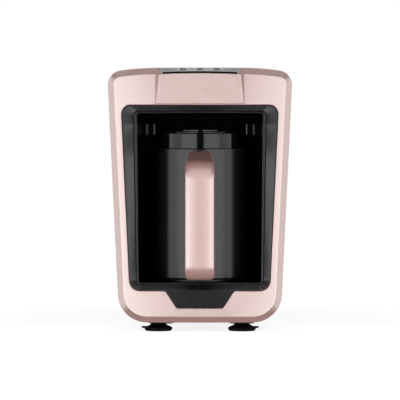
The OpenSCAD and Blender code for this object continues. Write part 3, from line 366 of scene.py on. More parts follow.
def tab_floor(grow):
    """The lower edge of the bezel's outline with its tab, from the middle to its corner."""
    lean = math.atan((TAB_TOP_W - TAB_BOTTOM_W) / 2 / (BEZEL_BOTTOM - TAB_BOTTOM))
    low, high = TAB_BOTTOM - grow, BEZEL_BOTTOM - grow
    foot = TAB_BOTTOM_W / 2 + grow / math.cos(lean) - grow * math.tan(lean)
    top = foot + (high - low) * math.tan(lean)
    r, q = TAB_R + grow, TAB_JOIN_R - grow
    turn = 90 - math.degrees(lean)
    corner_x = foot + r * math.tan(lean) - r / math.cos(lean)
    corner = arc(corner_x, low + r, r, -90, -90 + turn, CORNER)
    join_x = top + q * math.tan((math.pi / 2 - lean) / 2)
    joint = arc(join_x, high - q, q, 90 + turn, 90, CORNER)
    end_x = edge_end(BEZEL_BOTTOM - grow, BEZEL_TOP + grow, BEZEL_BOTTOM_W / 2 + grow,
                     BEZEL_TOP_W / 2 + grow, BEZEL_BOTTOM_R + grow)
    points = [(corner_x * i / TAB_STEPS, low) for i in range(TAB_STEPS)] + corner
    points += divided(corner[-1], joint[0], TAB_SIDE_STEPS) + joint
    return points + divided(joint[-1], (end_x, high), FOOT_STEPS), end_x


def edge_end(z0, z1, w0, w1, r0):
    """Where the straight lower edge of a rounded trapezoid ends."""
    tilt = math.atan((w1 - w0) / (z1 - z0))
    return w0 + r0 * math.tan(tilt) - r0 / math.cos(tilt)


def fall(x, drop):
    """How far a crowned upper edge has fallen at x."""
    return drop * (abs(x) / CROWN_X) ** 4


def outline(z0, z1, w0, w1, r0, r1, drop=0.0, floor=None):
    """A rounded trapezoid, anticlockwise from the middle of its lower edge. All outlines
    have the same number of points, so that any two can be lofted together."""
    tilt = math.atan((w1 - w0) / (z1 - z0))
    lean = math.degrees(tilt)
    x0 = edge_end(z0, z1, w0, w1, r0)
    x1 = w1 - r1 * math.tan(tilt) - r1 / math.cos(tilt)
    low = floor or [(x0 * share, z0) for share in FLOOR_SHARES]
    lower = arc(x0, z0 + r0, r0, -90, -lean, CORNER)
    upper = arc(x1, z1 - r1, r1, -lean, 90, CORNER)
    upper += [(x1 * (1 - i / TOP), z1) for i in range(1, TOP + 1)]
    upper = [(x, z - fall(x, drop)) for x, z in upper]
    half = low + lower + divided(lower[-1], upper[0], SIDE) + upper
    return half + [(-x, z) for x, z in reversed(half[1:-1])]


# Where the points of the lower edge lie, as shares of its half length
tab_points, tab_end = tab_floor(0)
FLOOR_SHARES = [x / tab_end for x, z in tab_points]


def body_outline(inset, taper=0.0):
    """The body's outline moved in by inset, with its sides and top moved in by taper too."""
    z0, z1 = BODY_BOTTOM + inset, BODY_TOP - inset - taper
    step = (inset + taper) / math.cos(math.atan(SIDE_SLOPE))
    return outline(z0, z1, side_x(z0) - step, side_x(z1) - step,
                   max(CORNER_BOTTOM_R - inset, 1), max(CORNER_TOP_R - inset, 1), CROWN)


def bezel_outline(grow, tab=False):
    """The bezel's outline moved out by grow, with its tab or without."""
    return outline(BEZEL_BOTTOM - grow, BEZEL_TOP + grow, BEZEL_BOTTOM_W / 2 + grow,
                   BEZEL_TOP_W / 2 + grow, BEZEL_BOTTOM_R + grow, BEZEL_TOP_R + grow,
                   floor=tab_floor(grow)[0] if tab else None)


def bay_outline():
    """The outline of the bay's mouth."""
    return outline(BAY_FLOOR, BAY_CEILING, BAY_BOTTOM_W / 2, BAY_TOP_W / 2, 2, 2)


def between(a, b, t):
    """An outline at share t of the way from outline a to outline b."""
    return [(p[0] + (q[0] - p[0]) * t, p[1] + (q[1] - p[1]) * t) for p, q in zip(a, b)]


def ring(points, y, bow=0.0):
    """An outline as a ring at depth y, bowed back towards its sides."""
    return [(x, y + bow * (x / (BODY_TOP_W / 2)) ** 2, z) for x, z in points]


# ---------------------------------------------------------------- materials


def shader(name, color, roughness, metallic=0.0, ior=1.5, specular=0.5, tint=0.06,
           tint_scale=60.0, rough_vary=0.05, rough_scale=220.0, grain=0.0, grain_scale=2500.0,
           stretch=(1, 1, 1)):
    """A Principled material whose colour, roughness and surface vary a little from place to
    place. tint is the share by which the colour varies and grain the depth of the texture."""
    mat = bpy.data.materials.new(name)
    mat.use_nodes = True
    nodes, links = mat.node_tree.nodes, mat.node_tree.links
    nodes.clear()
    out = nodes.new("ShaderNodeOutputMaterial")
    bsdf = nodes.new("ShaderNodeBsdfPrincipled")
    links.new(bsdf.outputs["BSDF"], out.inputs["Surface"])
    bsdf.inputs["Metallic"].default_value = metallic
    bsdf.inputs["IOR"].default_value = ior
    bsdf.inputs["Specular IOR Level"].default_value = specular
    coords = nodes.new("ShaderNodeTexCoord")
    mapping = nodes.new("ShaderNodeMapping")
    mapping.inputs["Scale"].default_value = stretch
    links.new(coords.outputs["Object"], mapping.inputs["Vector"])

    def noise(scale, detail=3.0):
        node = nodes.new("ShaderNodeTexNoise")
        node.inputs["Scale"].default_value = scale
        node.inputs["Detail"].default_value = detail
        links.new(mapping.outputs["Vector"], node.inputs["Vector"])
        return node.outputs["Fac"]

    ramp = nodes.new("ShaderNodeValToRGB")
    ramp.color_ramp.elements[0].position = 0.3
    ramp.color_ramp.elements[1].position = 0.7
    ramp.color_ramp.elements[0].color = (*[c * (1 - tint) for c in color], 1)
    ramp.color_ramp.elements[1].color = (*[min(c * (1 + tint), 1) for c in color], 1)
    links.new(noise(tint_scale), ramp.inputs["Fac"])
    links.new(ramp.outputs["Color"], bsdf.inputs["Base Color"])

    spread = nodes.new("ShaderNodeMapRange")
    spread.inputs["From Min"].default_value = 0.3
    spread.inputs["From Max"].default_value = 0.7
    spread.inputs["To Min"].default_value = max(roughness - rough_vary, 0.02)
    spread.inputs["To Max"].default_value = min(roughness + rough_vary, 1)
    links.new(noise(rough_scale), spread.inputs["Value"])
    links.new(spread.outputs["Result"], bsdf.inputs["Roughness"])

    if grain:
        bump = nodes.new("ShaderNodeBump")
        bump.inputs["Strength"].default_value = 1.0
        bump.inputs["Distance"].default_value = grain * MM
        links.new(noise(grain_scale, 2.0), bump.inputs["Height"])
        links.new(bump.outputs["Normal"], bsdf.inputs["Normal"])
    return mat


# A rose gold paint: a copper base under pearl flakes, whose reflections are almost white
paint = shader("rose_paint", (0.36, 0.19, 0.16), 0.33, ior=3.8, tint=0.03, tint_scale=2600,
               rough_vary=0.03, grain=0.002, grain_scale=3200)
handle_paint = shader("handle_paint", (0.6, 0.33, 0.29), 0.33, ior=2.9, tint=0.03,
                      tint_scale=2600, rough_vary=0.04, grain=0.002, grain_scale=3200)
bezel_plastic = shader("bezel_plastic", (0.008, 0.008, 0.0085), 0.28, specular=0.23, tint=0.08,
                       rough_vary=0.02, grain=0.0006, grain_scale=2200)
bay_plastic = shader("bay_plastic", (0.0015, 0.0015, 0.0015), 0.5, specular=0.05, tint=0.1,
                     grain=0.01, grain_scale=1800)
gloss_black = shader("gloss_black", (0.002, 0.002, 0.0024), 0.1, specular=0.28,
                     rough_vary=0.02, tint=0.05)
pot_black = shader("pot_black", (0.003, 0.003, 0.0035), 0.28, specular=0.35, tint=0.08,
                   rough_vary=0.02, grain=0.0005, grain_scale=2600)
collar_black = shader("collar_black", (0.002, 0.002, 0.0024), 0.13, specular=0.31, tint=0.05,
                      rough_vary=0.02)
inner_black = shader("inner_black", (0.018, 0.018, 0.019), 0.45, tint=0.08, grain=0.01,
                     grain_scale=1500)
rubber = shader("rubber", (0.002, 0.002, 0.0025), 0.5, specular=0.05, tint=0.1, grain=0.004)
silicone = shader("silicone", (0.5, 0.5, 0.48), 0.6, tint=0.04)
steel = shader("brushed_steel", (0.62, 0.62, 0.63), 0.28, metallic=1.0, tint=0.06,
               tint_scale=300, rough_vary=0.08, grain=0.003, grain_scale=900,
               stretch=(1, 1, 12))
alloy = shader("cast_alloy", (0.5, 0.5, 0.49), 0.5, metallic=1.0, tint=0.08, grain=0.02,
               grain_scale=900)
ceramic = shader("ceramic", (0.74, 0.70, 0.6), 0.5, tint=0.03)
zinc = shader("zinc", (0.6, 0.6, 0.62), 0.32, metallic=1.0, tint=0.05, rough_vary=0.08)
brass = shader("brass", (0.72, 0.52, 0.22), 0.3, metallic=1.0, tint=0.05)
board_green = shader("circuit_board", (0.02, 0.13, 0.05), 0.35, tint=0.25, tint_scale=900)
moulded = shader("moulded_parts", (0.03, 0.032, 0.04), 0.4, tint=0.1)
light_guide = shader("light_guide", (0.78, 0.8, 0.82), 0.25, tint=0.02)
cable_grey = shader("cable", (0.2, 0.2, 0.21), 0.5, tint=0.2, tint_scale=1200,
                    stretch=(1, 0.02, 0.02))

SLOT_LOOK = {
    "body_shell": paint, "bezel": bezel_plastic, "bay_liner": bay_plastic,
    "gloss_black": gloss_black, "pot_black": pot_black, "handle_shell": handle_paint,
    "inner_black": inner_black, "foot_rubber": rubber, "gasket": silicone,
    "steel_bowl": steel, "heater_alloy": alloy, "ceramic": ceramic, "screw_steel": zinc,
    "contact_brass": brass, "circuit_board": board_green, "board_parts": moulded,
    "light_guide": light_guide, "cable": cable_grey,
}
for part in frame["record"]["subparts"]:
    node = frame["nodes"][part["node"]]
    node.data.materials.clear()
    node.data.materials.append(SLOT_LOOK[part["material_slot"]])

# ---------------------------------------------------------------- front frame with its hood


def bevel_rings(steps=6):
    """The broken edges of the bevel as (inset, depth) pairs, from the rim to the face."""
    reach = BEVEL + EDGE_R * math.tan(math.radians(22.5))
    turns = [math.radians(45 * i / steps) for i in range(steps + 1)]
    rim = [(EDGE_R * (1 - math.cos(a)), reach - EDGE_R * math.sin(a)) for a in turns]
    return rim + [(depth, inset) for inset, depth in reversed(rim)]


def arch_points(half, steps=32):
    """The arched line that ends the hood's upper edge, from left to right."""
    return [(half * (2 * i / steps - 1),
             HOOD_TOP - HOOD_ARCH * (half / (HOOD_TOP_W / 2) * (2 * i / steps - 1)) ** 2)
            for i in range(steps + 1)]


def make_hood():
    """The hood, which leans out of the face towards its arched upper edge."""
    foot_z, back = BEZEL_TOP + 1, PANEL_Y - SLIP
    side = (HOOD_W - HOOD_TOP_W) / 2

    def section(z):
        out = HOOD_FOOT_OUT + (HOOD_OUT - HOOD_FOOT_OUT) * (z - foot_z) / (HOOD_TOP - foot_z)
        front = HOOD_W / 2 - side * out / HOOD_OUT
        return [(-HOOD_W / 2, back, z), (-HOOD_W / 2, 0, z), (-front, -out, z),
                (front, -out, z), (HOOD_W / 2, 0, z), (HOOD_W / 2, back, z)]

    hood = loft("hood", [section(foot_z), section(BODY_TOP)])
    top = arch_points(HOOD_W)
    above = slab("above", top + [(HOOD_W, BODY_TOP + 9), (-HOOD_W, BODY_TOP + 9)], -20, 20)
    combine(hood, [above], "DIFFERENCE")
    return soften(hood, HOOD_EDGE, angle=24, segments=6)


def make_front():
    """The front frame's shell and its hood, with the control panel's pocket cut out of both."""
    lip, back, hidden = OPENING_EDGE_R, FRAME_D - SEAM / 2, BEZEL_BACK - 1
    rings = [ring(body_outline(inset), back - reach) for inset, reach in SEAM_EDGE]
    rings += [ring(body_outline(inset), y, BOW) for inset, y in bevel_rings()]
    rings.append(ring(body_outline(BEVEL + 1.4), 0, BOW))
    rings.append(ring(bezel_outline(SEAT + lip + 0.8, True), 0, BOW))
    for i in range(6):
        a = math.radians(i * 18)
        rings.append(ring(bezel_outline(SEAT + lip * (1 - math.sin(a)), True),
                          lip * (1 - math.cos(a)), BOW))
    rings += [ring(bezel_outline(SEAT, True), hidden), ring(bezel_outline(SEAT + WALL, True), hidden),
              ring(bezel_outline(SEAT + WALL, True), WALL + 1, BOW),
              ring(body_outline(WALL + BEVEL), WALL + 1, BOW),
              ring(body_outline(WALL), BEVEL + WALL + 1, BOW), ring(body_outline(WALL), back)]
    front, hood = loft("front_shell", rings, closed=True), make_hood()
    half = PANEL_W / 2 + SEAT
    pocket = block("pocket", (-half, PANEL_Y - SLIP, PANEL_FRONT_Z - 8),
                   (half, PANEL_Y + PANEL_D + SEAT, BODY_TOP + 5))
    narrow, end = half - POCKET_LIP, GAP_END_R
    arch = [p for p in arch_points(half, 72) if abs(p[0]) < narrow - end]
    ears = arc(narrow - end, arch[-1][1] + end, end, -90, 0, 8)
    above = slab("above", [(-x, z) for x, z in reversed(ears)] + arch + ears
                 + [(narrow, BODY_TOP + 9), (-narrow, BODY_TOP + 9)], -20, PANEL_Y - SLIP + 0.02)
    for piece in (front, hood):
        cutters = [pocket.copy(), above.copy()]
        for cutter in cutters:
            bpy.context.scene.collection.objects.link(cutter)
        combine(piece, cutters, "DIFFERENCE")
    for cutter in (pocket, above):
        bpy.data.objects.remove(cutter)
    return [dress(piece, paint, "housing", "body_shell", "front_frame", sharp=28)
            for piece in (front, hood)]


front_pieces = make_front()

# ---------------------------------------------------------------- rear housing


def make_rear():
    """The rear housing: an open shell with vents, the gland's hole and the base's pocket."""
    front, past = FRAME_D + SEAM / 2, BODY_D + 2
    steps = [(inset, 0, front + reach) for inset, reach in SEAM_EDGE]
    steps.append((0, DRAFT, BODY_D - BACK_EDGE_D))
    for i in range(1, 9):
        a = math.radians(i * 90 / 8)
        steps.append((BACK_EDGE_W * (1 - math.cos(a)), DRAFT, BODY_D - BACK_EDGE_D * (1 - math.sin(a))))
    rings = [ring(body_outline(WALL + 4, DRAFT), BODY_D - WALL),
             ring(body_outline(WALL, DRAFT), BODY_D - WALL - 5), ring(body_outline(WALL), front)]
    rings += [ring(body_outline(inset, taper), y) for inset, taper, y in steps]
    rear = loft("rear_shell", rings)
    cutters = []
    for i in range(VENTS):
        z, half, r = BODY_TOP - VENT_DROP + i * VENT_PITCH, VENT_W / 2, 1.2
        slot = rounded([(-half, z, r), (half, z, r), (half, z + VENT_H, r), (-half, z + VENT_H, r)])
        cutters.append(slab("slot", slot, BODY_D - WALL - 3, past))
    cutters.append(rod("gland_hole", GLAND_X, GLAND_Z, BODY_D - WALL - 3, past, GLAND_D + 2 * SEAT))
    cutters.append(block("plate_pocket", (-BASE_W / 2 - SLIP, BASE_FRONT - SLIP, BODY_BOTTOM - 3),
                         (BASE_W / 2 + SLIP, BASE_BACK + SLIP, BODY_BOTTOM + BASE_T + SEAT)))
    combine(rear, cutters, "DIFFERENCE")
    return dress(rear, paint, "housing", "body_shell", "rear_housing", sharp=30)


rear_pieces = [make_rear()]

# ---------------------------------------------------------------- bezel with its tab


def make_bezel():
    """The bezel: a flat rim with the tab, a slope inwards, a groove and the bay's mouth."""
    tabbed, plain, bay = bezel_outline(0, True), bezel_outline(0), bay_outline()
    inner_tab, rim_back = bezel_outline(-BEZEL_EDGE_R, True), BEZEL_RECESS + 3.4
    rings = [ring(tabbed, rim_back, BOW)]
    for i in range(5):
        a = math.radians(i * 22.5)
        rings.append(ring(between(tabbed, inner_tab, 1 - math.cos(a)),
                          BEZEL_RECESS + BEZEL_EDGE_R * (1 - math.sin(a)), BOW))
    rings.append(ring(between(plain, bay, 0.075), BEZEL_RECESS, BOW))
    # Each entry is the share of the way to the bay, the depth, and the share of the face's bow
    profile = [(0.1, BEZEL_RECESS + 0.1, 0.98), (0.13, BEZEL_RECESS + 0.36, 0.95)]
    profile += [(0.13 + 0.58 * i / 5, BEZEL_RECESS + 0.36 + (BEZEL_SLOPE - 0.66) * i / 5,
                 0.95 - 0.75 * i / 5) for i in range(1, 6)]
    profile += [(0.735, MOUTH_Y - 0.08, 0.2), (0.755, MOUTH_Y + 0.15, 0.2),
                (0.765, MOUTH_Y + 1.0, 0.2), (0.805, MOUTH_Y + 1.0, 0.1),
                (0.815, MOUTH_Y + 0.12, 0.1), (0.83, MOUTH_Y, 0.1), (0.95, MOUTH_Y, 0.02),
                (0.98, MOUTH_Y + 0.15, 0), (0.995, MOUTH_Y + 0.5, 0), (1, MOUTH_Y + 0.9, 0),
                (1, BEZEL_BACK, 0)]
    rings += [ring(between(plain, bay, t), y, b * BOW) for t, y, b in profile]
    rings += [ring(plain, BEZEL_BACK), ring(plain, rim_back, BOW)]
    bezel = loft("bezel_moulding", rings, closed=True)
    return dress(bezel, bezel_plastic, "housing", "bezel", "bezel", sharp=50)


bezel_pieces = [make_bezel()]

# ---------------------------------------------------------------- bay


def make_pod(side):
    """A sensor pod: a stem on the bay's wall and a slimmer nose towards the pot."""
    wall_x, step_x, nose_x = BAY_TOP_W / 2 - 0.55, POD_TIP + POD_NOSE, POD_TIP + POD_R
    front, back = POT_Y - POD_L / 2, POT_Y + POD_L / 2
    plan = ([(wall_x, back), (nose_x, back)]
            + arc(nose_x, back - POD_R, POD_R, 90, 180, 8)[1:]
            + arc(nose_x, front + POD_STEP + POD_R, POD_R, 180, 270, 8)
            + [(step_x, front + POD_STEP)]
            + arc(step_x + POD_STEP_R, front + POD_STEP_R, POD_STEP_R, 180, 270, 6)
            + [(wall_x, front)])
    node = "sensor_pod_" + ("right" if side > 0 else "left")
    pod = loft(node + "_cover", [[(side * x, y, z) for x, y in plan]
                                 for z in (POD_TOP - POD_H, POD_TOP)])
    soften(pod, 0.5, angle=50, segments=3)
    return dress(pod, gloss_black, "housing", "gloss_black", node, sharp=45)


make_pod(-1)
make_pod(1)

rest = rounded([(COLLAR_R - REST_W, 0, 0), (COLLAR_R, 0, 0), (COLLAR_R, REST_H, 0.6),
                (COLLAR_R - REST_W, REST_H, 0.6)])
dress(revolve("rest_ring", rest, 0, POT_Y, BAY_FLOOR), inner_black, "housing", "inner_black",
      "pot_rest_ring")

# ---------------------------------------------------------------- controls


def make_panel():
    """The control panel, tipped to the front and crowned along its front edge."""
    back_y, back_z = PANEL_Y + PANEL_D, BODY_TOP - 0.1
    skirt_y, skirt_z = PANEL_Y + PANEL_SKIRT_T, PANEL_FRONT_Z - PANEL_SKIRT_H
    profile = rounded([
        (PANEL_Y, PANEL_FRONT_Z, 0.5), (back_y, back_z, 0.3), (back_y, back_z - PANEL_T, 0),
        (skirt_y, PANEL_FRONT_Z - PANEL_T, 0), (skirt_y, skirt_z, 0), (PANEL_Y, skirt_z, 0)])
    rings = []
    half, ease, spans = PANEL_W / 2, PANEL_EASE, 24
    stations = [(-half, ease)] + [((half - ease) * (2 * i / spans - 1), 0)
                                  for i in range(spans + 1)] + [(half, ease)]
    for x, inset in stations:
        bend = PANEL_CROWN * (x / half) ** 2
        rings.append([(x, y + (inset if y < PANEL_Y + 1 else 0),
                       z - inset * 0.6 - bend * (back_y - y) / PANEL_D)
                      for y, z in profile])
    panel = loft("touch_panel", rings)
    holes = [panel_hole(x, RING_OUTER_D / 2 + SEAT / 2, -RING_SUNK, 2) for x in BUTTON_XS]
    holes += [panel_hole(x, RING_INNER_D / 2, -4.5, 2) for x in BUTTON_XS]
    combine(panel, holes, "DIFFERENCE")
    return dress(panel, gloss_black, "housing", "gloss_black", "control_panel", sharp=30)


make_panel()

guide = rounded([(RING_INNER_D / 2, -RING_SUNK, 0), (RING_OUTER_D / 2, -RING_SUNK, 0),
                 (RING_OUTER_D / 2, RING_PROUD, 0.2), (RING_INNER_D / 2, RING_PROUD, 0.2)])
guides = [panel_revolve("light_ring_set", guide, x) for x in BUTTON_XS]
join(guides[0], guides[1:])
dress(guides[0], light_guide, "housing", "light_guide", "light_rings")



def make_button(label, x):
    """A button: dished cap, flange under the panel and a stem into its switch."""
    r, flange_r = BUTTON_D / 2, BUTTON_D / 2 + BUTTON_FLANGE_W
    flange = -PANEL_T / math.cos(math.radians(PANEL_TILT)) - SLIP
    under = flange - BUTTON_FLANGE_T
    cap = [(0.0, BUTTON_END), (BUTTON_STEM_R, BUTTON_END), (BUTTON_STEM_R, under),
           (flange_r, under), (flange_r, flange), (r, flange)]
    cap += arc(r - BUTTON_EDGE, BUTTON_PROUD - BUTTON_EDGE, BUTTON_EDGE, 0, 90, 6)
    cap += [((r - BUTTON_EDGE) * (1 - i / 10), BUTTON_PROUD - BUTTON_DISH * (1 - (1 - i / 10) ** 2))
            for i in range(1, 11)]
    dress(panel_revolve("button_" + label + "_cap", cap, x), gloss_black, label + "_button",
          "gloss_black", "button_" + label, sharp=38)


for label, x in zip(("left", "center", "right"), BUTTON_XS):
    make_button(label, x)

# ---------------------------------------------------------------- pot

inner_r = POT_R - JACKET_WALL
jacket = rounded([(inner_r, POT_BOTTOM, 0), (POT_R, POT_BOTTOM, 1.0), (POT_R, POT_TOP, 0.9),
                  (inner_r, POT_TOP, 0)], steps=6)
shell = revolve("pot_shell", jacket, 0, POT_Y, n=160)
window = block("plug_window", (-PLUG_W / 2 - SEAT, PLUG_FRONT, PLUG_Z - SEAT),
               (PLUG_W / 2 + SEAT, POT_Y + POT_R + 3, PLUG_Z + PLUG_H + SEAT))
combine(shell, [window], "DIFFERENCE")
jacket_pieces = [dress(shell, pot_black, "pot", "pot_black", "pot_jacket")]

seat_r, foot_z, step_z, under_z = inner_r - SEAT, POT_TOP - 4, POT_TOP - 0.4, COLLAR_TOP - RIM_T
collar = rounded([(BOWL_R + SEAT, foot_z, 0), (seat_r, foot_z, 0), (seat_r, step_z, 0.2),
                  (COLLAR_R, step_z, 0), (COLLAR_R, COLLAR_TOP, 0.7),
                  (MOUTH_R, COLLAR_TOP, 0.5), (MOUTH_R, under_z, 0.5),
                  (BOWL_R + SEAT, under_z, 0)], steps=6)
collar_pieces = [dress(revolve("collar_band", collar, 0, POT_Y, n=160), collar_black, "pot",
                       "gloss_black", "pot_collar")]

rest_z = COLLAR_TOP + SLIP
rim_z, lid_top = rest_z + LID_RIM_T, rest_z + LID_RISE
skirt, skirt_inner, skirt_z = MOUTH_R - SLIP, MOUTH_R - SLIP - LID_SKIRT_T, COLLAR_TOP - LID_SKIRT
edge = [(LID_BOSS_R - LID_EDGE_W * (1 - math.cos(math.radians(a))),
         lid_top - LID_EDGE_H * (1 - math.sin(math.radians(a)))) for a in range(0, 91, 5)]
lid = ([(0, lid_top - LID_T), (LID_BOSS_R - LID_EDGE_W, lid_top - LID_T),
        (LID_BOSS_R - 2, rest_z), (skirt_inner, rest_z), (skirt_inner, skirt_z),
        (skirt, skirt_z), (skirt, rest_z), (LID_R - 0.3, rest_z)]
       + arc(LID_R - 0.3, rest_z + 0.3, 0.3, -60, 0, 4)
       + arc(LID_R - 0.3, rim_z - 0.3, 0.3, 0, 90, 4)
       + arc(LID_BOSS_R + 0.5, rim_z + 0.5, 0.5, -90, -180, 4)
       + edge + [(0, lid_top)])
collar_pieces.append(dress(revolve("lid_cap", lid, 0, POT_Y, n=128), collar_black, "lid",
                           "gloss_black", "pot_lid"))

# ---------------------------------------------------------------- handle

ARM_STEPS, BEND_STEPS = 8, 20


def handle_path():
    """Stations of the handle's outer surface: y, z and the angle of the outward normal."""
    top_z, low_z = POT_TOP - ARM_DROP, POT_BOTTOM + 0.2
    root_y, front_y = POT_Y - POT_R + ARM_ROOT_DEPTH, -HANDLE_OUT
    slope, top_a = math.radians(ARM_SLOPE), 90 + ARM_SLOPE
    c1_y = front_y + BEND_TOP_R
    arm_y = c1_y + BEND_TOP_R * math.cos(math.radians(top_a))
    rise = (POT_Y - POT_R - arm_y) * math.tan(slope)
    c1_z = top_z - rise - BEND_TOP_R * math.sin(math.radians(top_a))
    c2_y, c2_z = front_y + BEND_BOTTOM_R, low_z + BEND_BOTTOM_R
    path = [(root_y, top_z + ARM_ROOT_DEPTH * math.tan(slope), top_a)]
    bends = [(c1_y, c1_z, BEND_TOP_R, top_a, 180), (c2_y, c2_z, BEND_BOTTOM_R, 180, 270)]
    for cy, cz, r, a0, a1 in bends:
        for i in range(BEND_STEPS + 1):
            a = a0 + (a1 - a0) * i / BEND_STEPS
            path.append((cy + r * math.cos(math.radians(a)), cz + r * math.sin(math.radians(a)), a))
    return path + [(root_y, low_z, 270)]


def shell_section(d0, d1, r0, r1, crown, steps=8):
    """The handle's section as (across, depth) points, crowned on the side at depth d0."""
    w, span = HANDLE_W / 2, 12
    front = [(w - r0 - 2 * (w - r0) * i / span, d0) for i in range(1, span)]
    section = rounded([(-w, d1, r1), (w, d1, r1), (w, d0, r0), (-w, d0, r0)], steps)
    turn = 3 * (steps + 1)
    section = section[:turn] + front + section[turn:]
    return [(x, d + crown * (x / w) ** 2 * (d1 - d) / (d1 - d0)) for x, d in section]


def handle_shell(name, d0, d1, r0, r1, root_r, crown=0.0):
    """One shell of the handle between the depths d0 and d1 below its outer surface. The
    radius of its outer edges changes to root_r where the upper arm meets the pot."""
    rings = []
    path = handle_path()
    (y0, z0, a0), (y1, z1, _) = path[:2]
    arm = [(y0 + (y1 - y0) * i / ARM_STEPS, z0 + (z1 - z0) * i / ARM_STEPS, a0)
           for i in range(ARM_STEPS)]
    for i, (y, z, a) in enumerate(arm + path[1:]):
        share = max(0, 1 - i / ARM_STEPS)
        c, s = math.cos(math.radians(a)), math.sin(math.radians(a))
        wide = 1 + (ARM_ROOT_W / HANDLE_W - 1) * share
        section = shell_section(d0, d1, r0 + (root_r - r0) * share, r1, crown)
        rings.append([(x * wide, y - d * c, z - d * s) for x, d in section])
    shell = loft(name, rings)
    r = POT_R + SEAT
    pot = loft("pot_core", [
        [(r * math.cos(2 * math.pi * i / 160), POT_Y + r * math.sin(2 * math.pi * i / 160), z)
         for i in range(160)] for z in (20, 220)])
    return combine(shell, [pot], "DIFFERENCE")


outer = handle_shell("handle_shell_outer", 0, SHELL_T - SEAT / 2, HANDLE_R, 0.25, ARM_ROOT_R,
                     HANDLE_CROWN)
handle_pieces = [dress(outer, handle_paint, "pot", "handle_shell", "handle_outer", sharp=40)]
inner = handle_shell("handle_shell_inner", SHELL_T, HANDLE_T, 0.25, INNER_R, 0.25)
dress(inner, inner_black, "pot", "inner_black", "handle_inner", sharp=40)

# ---------------------------------------------------------------- feet and gland


def make_foot(name, x, y):
    """A soft foot: a wide lip with a hollow underside, a neck, a stud and a pull tab."""
    lip, neck = FOOT_D / 2, FOOT_NECK_D / 2
    profile = ([(0, 1.2), (lip - 4.5, 1.2), (lip - 3.6, 0.9), (lip - 3, 0.1), (lip - 2.7, 0),
                (lip - 1.2, 0)]
               + arc(lip - 1.6, 2, 1.6, -60, 60, 8)
               + [(neck + 3.2, 4.3), (neck + 1.6, 5.0), (neck + 0.6, 5.7), (neck, 6.6),
                  (neck, BODY_BOTTOM), (4, BODY_BOTTOM), (4, 11.5), (4.8, 11.8), (3.4, 14),
                  (0, 14)])
    foot = revolve(name + "_rubber", profile, x, y, n=80)
    side = -1 if x < 0 else 1
    x0, x1 = sorted((x + side * (lip - 2), x + side * (lip + 2.4)))
    plan = rounded([(x0, y - 2.5, 0.2), (x1, y - 2.5, 1.2 if side > 0 else 0.2),
                    (x1, y + 2.5, 1.2 if side > 0 else 0.2), (x0, y + 2.5, 0.2)])
    tab = loft("tab", [[(px, py, 2.4) for px, py in plan], [(px, py, 4.0) for px, py in plan]])
    soften(tab, 0.35, angle=50, segments=2)
    join(foot, [tab])
    return dress(foot, rubber, "housing", "foot_rubber", name, sharp=45)


for x_name, x in (("left", -FOOT_X), ("right", FOOT_X)):
    make_foot("foot_front_" + x_name, x, FOOT_FRONT_Y)
    make_foot("foot_rear_" + x_name, x, FOOT_REAR_Y)

# ---------------------------------------------------------------- floor, light and camera


def floor_material(painted_shade_glow, albedo):
    """White, its glow dimmed close to the object as painted shade, where the lights' real contact
    shadow also shows.
    """
    mat = bpy.data.materials.new("floor_white")
    mat.use_nodes = True
    nodes, links = mat.node_tree.nodes, mat.node_tree.links
    nodes.clear()
    out = nodes.new("ShaderNodeOutputMaterial")
    add = nodes.new("ShaderNodeAddShader")
    diffuse = nodes.new("ShaderNodeBsdfDiffuse")
    emission = nodes.new("ShaderNodeEmission")
    coords = nodes.new("ShaderNodeTexCoord")
    length = nodes.new("ShaderNodeVectorMath")
    length.operation = "LENGTH"
    # The glow drops towards the middle: painted shade round the object
    glow = nodes.new("ShaderNodeMapRange")
    glow.inputs["From Min"].default_value = 0.2
    glow.inputs["From Max"].default_value = 0.6
    glow.inputs["To Min"].default_value = painted_shade_glow
    glow.inputs["To Max"].default_value = 1.0
    diffuse.inputs["Color"].default_value = (albedo, albedo, albedo, 1)
    emission.inputs["Color"].default_value = (1, 1, 1, 1)
    links.new(coords.outputs["Object"], length.inputs[0])
    links.new(length.outputs["Value"], glow.inputs["Value"])
    links.new(glow.outputs["Result"], emission.inputs["Strength"])
    links.new(diffuse.outputs["BSDF"], add.inputs[0])
    links.new(emission.outputs["Emission"], add.inputs[1])
    links.new(add.outputs["Shader"], out.inputs["Surface"])
    return mat


def make_floor(size=30.0):
    """A wide floor that stays out of reflections and bounced light."""
    mesh = bpy.data.meshes.new("floor")
    s = size / 2
    mesh.from_pydata([(-s, -s, 0), (s, -s, 0), (s, s, 0), (-s, s, 0)], [], [(0, 1, 2, 3)])
    floor = bpy.data.objects.new("floor", mesh)
    bpy.context.scene.collection.objects.link(floor)
    mesh.materials.append(floor_material(painted_shade_glow=0.86, albedo=0.35))
    floor.visible_glossy = False
    floor.visible_diffuse = False
    floor.visible_shadow = False


make_floor()


def softbox(name, at, aim, size, radiance):
    """A rectangular light of the given radiance that faces aim."""
    light = bpy.data.lights.new(name, "AREA")
    light.shape = "RECTANGLE"
    light.size, light.size_y = size
    light.energy = radiance * math.pi * size[0] * size[1]
    obj = bpy.data.objects.new(name, light)
    obj.location = at
    obj.rotation_euler = (Vector(aim) - Vector(at)).to_track_quat("-Z", "Y").to_euler()
    bpy.context.scene.collection.objects.link(obj)
    return obj


def link_light(light, pieces, state):
    """Makes a light light only the pieces, or all but the pieces."""
    group = bpy.data.collections.new(light.name + "_pieces")
    for piece in pieces:
        group.objects.link(piece)
    for member in group.collection_objects:
        member.light_linking.link_state = state
    light.light_linking.receiver_collection = group


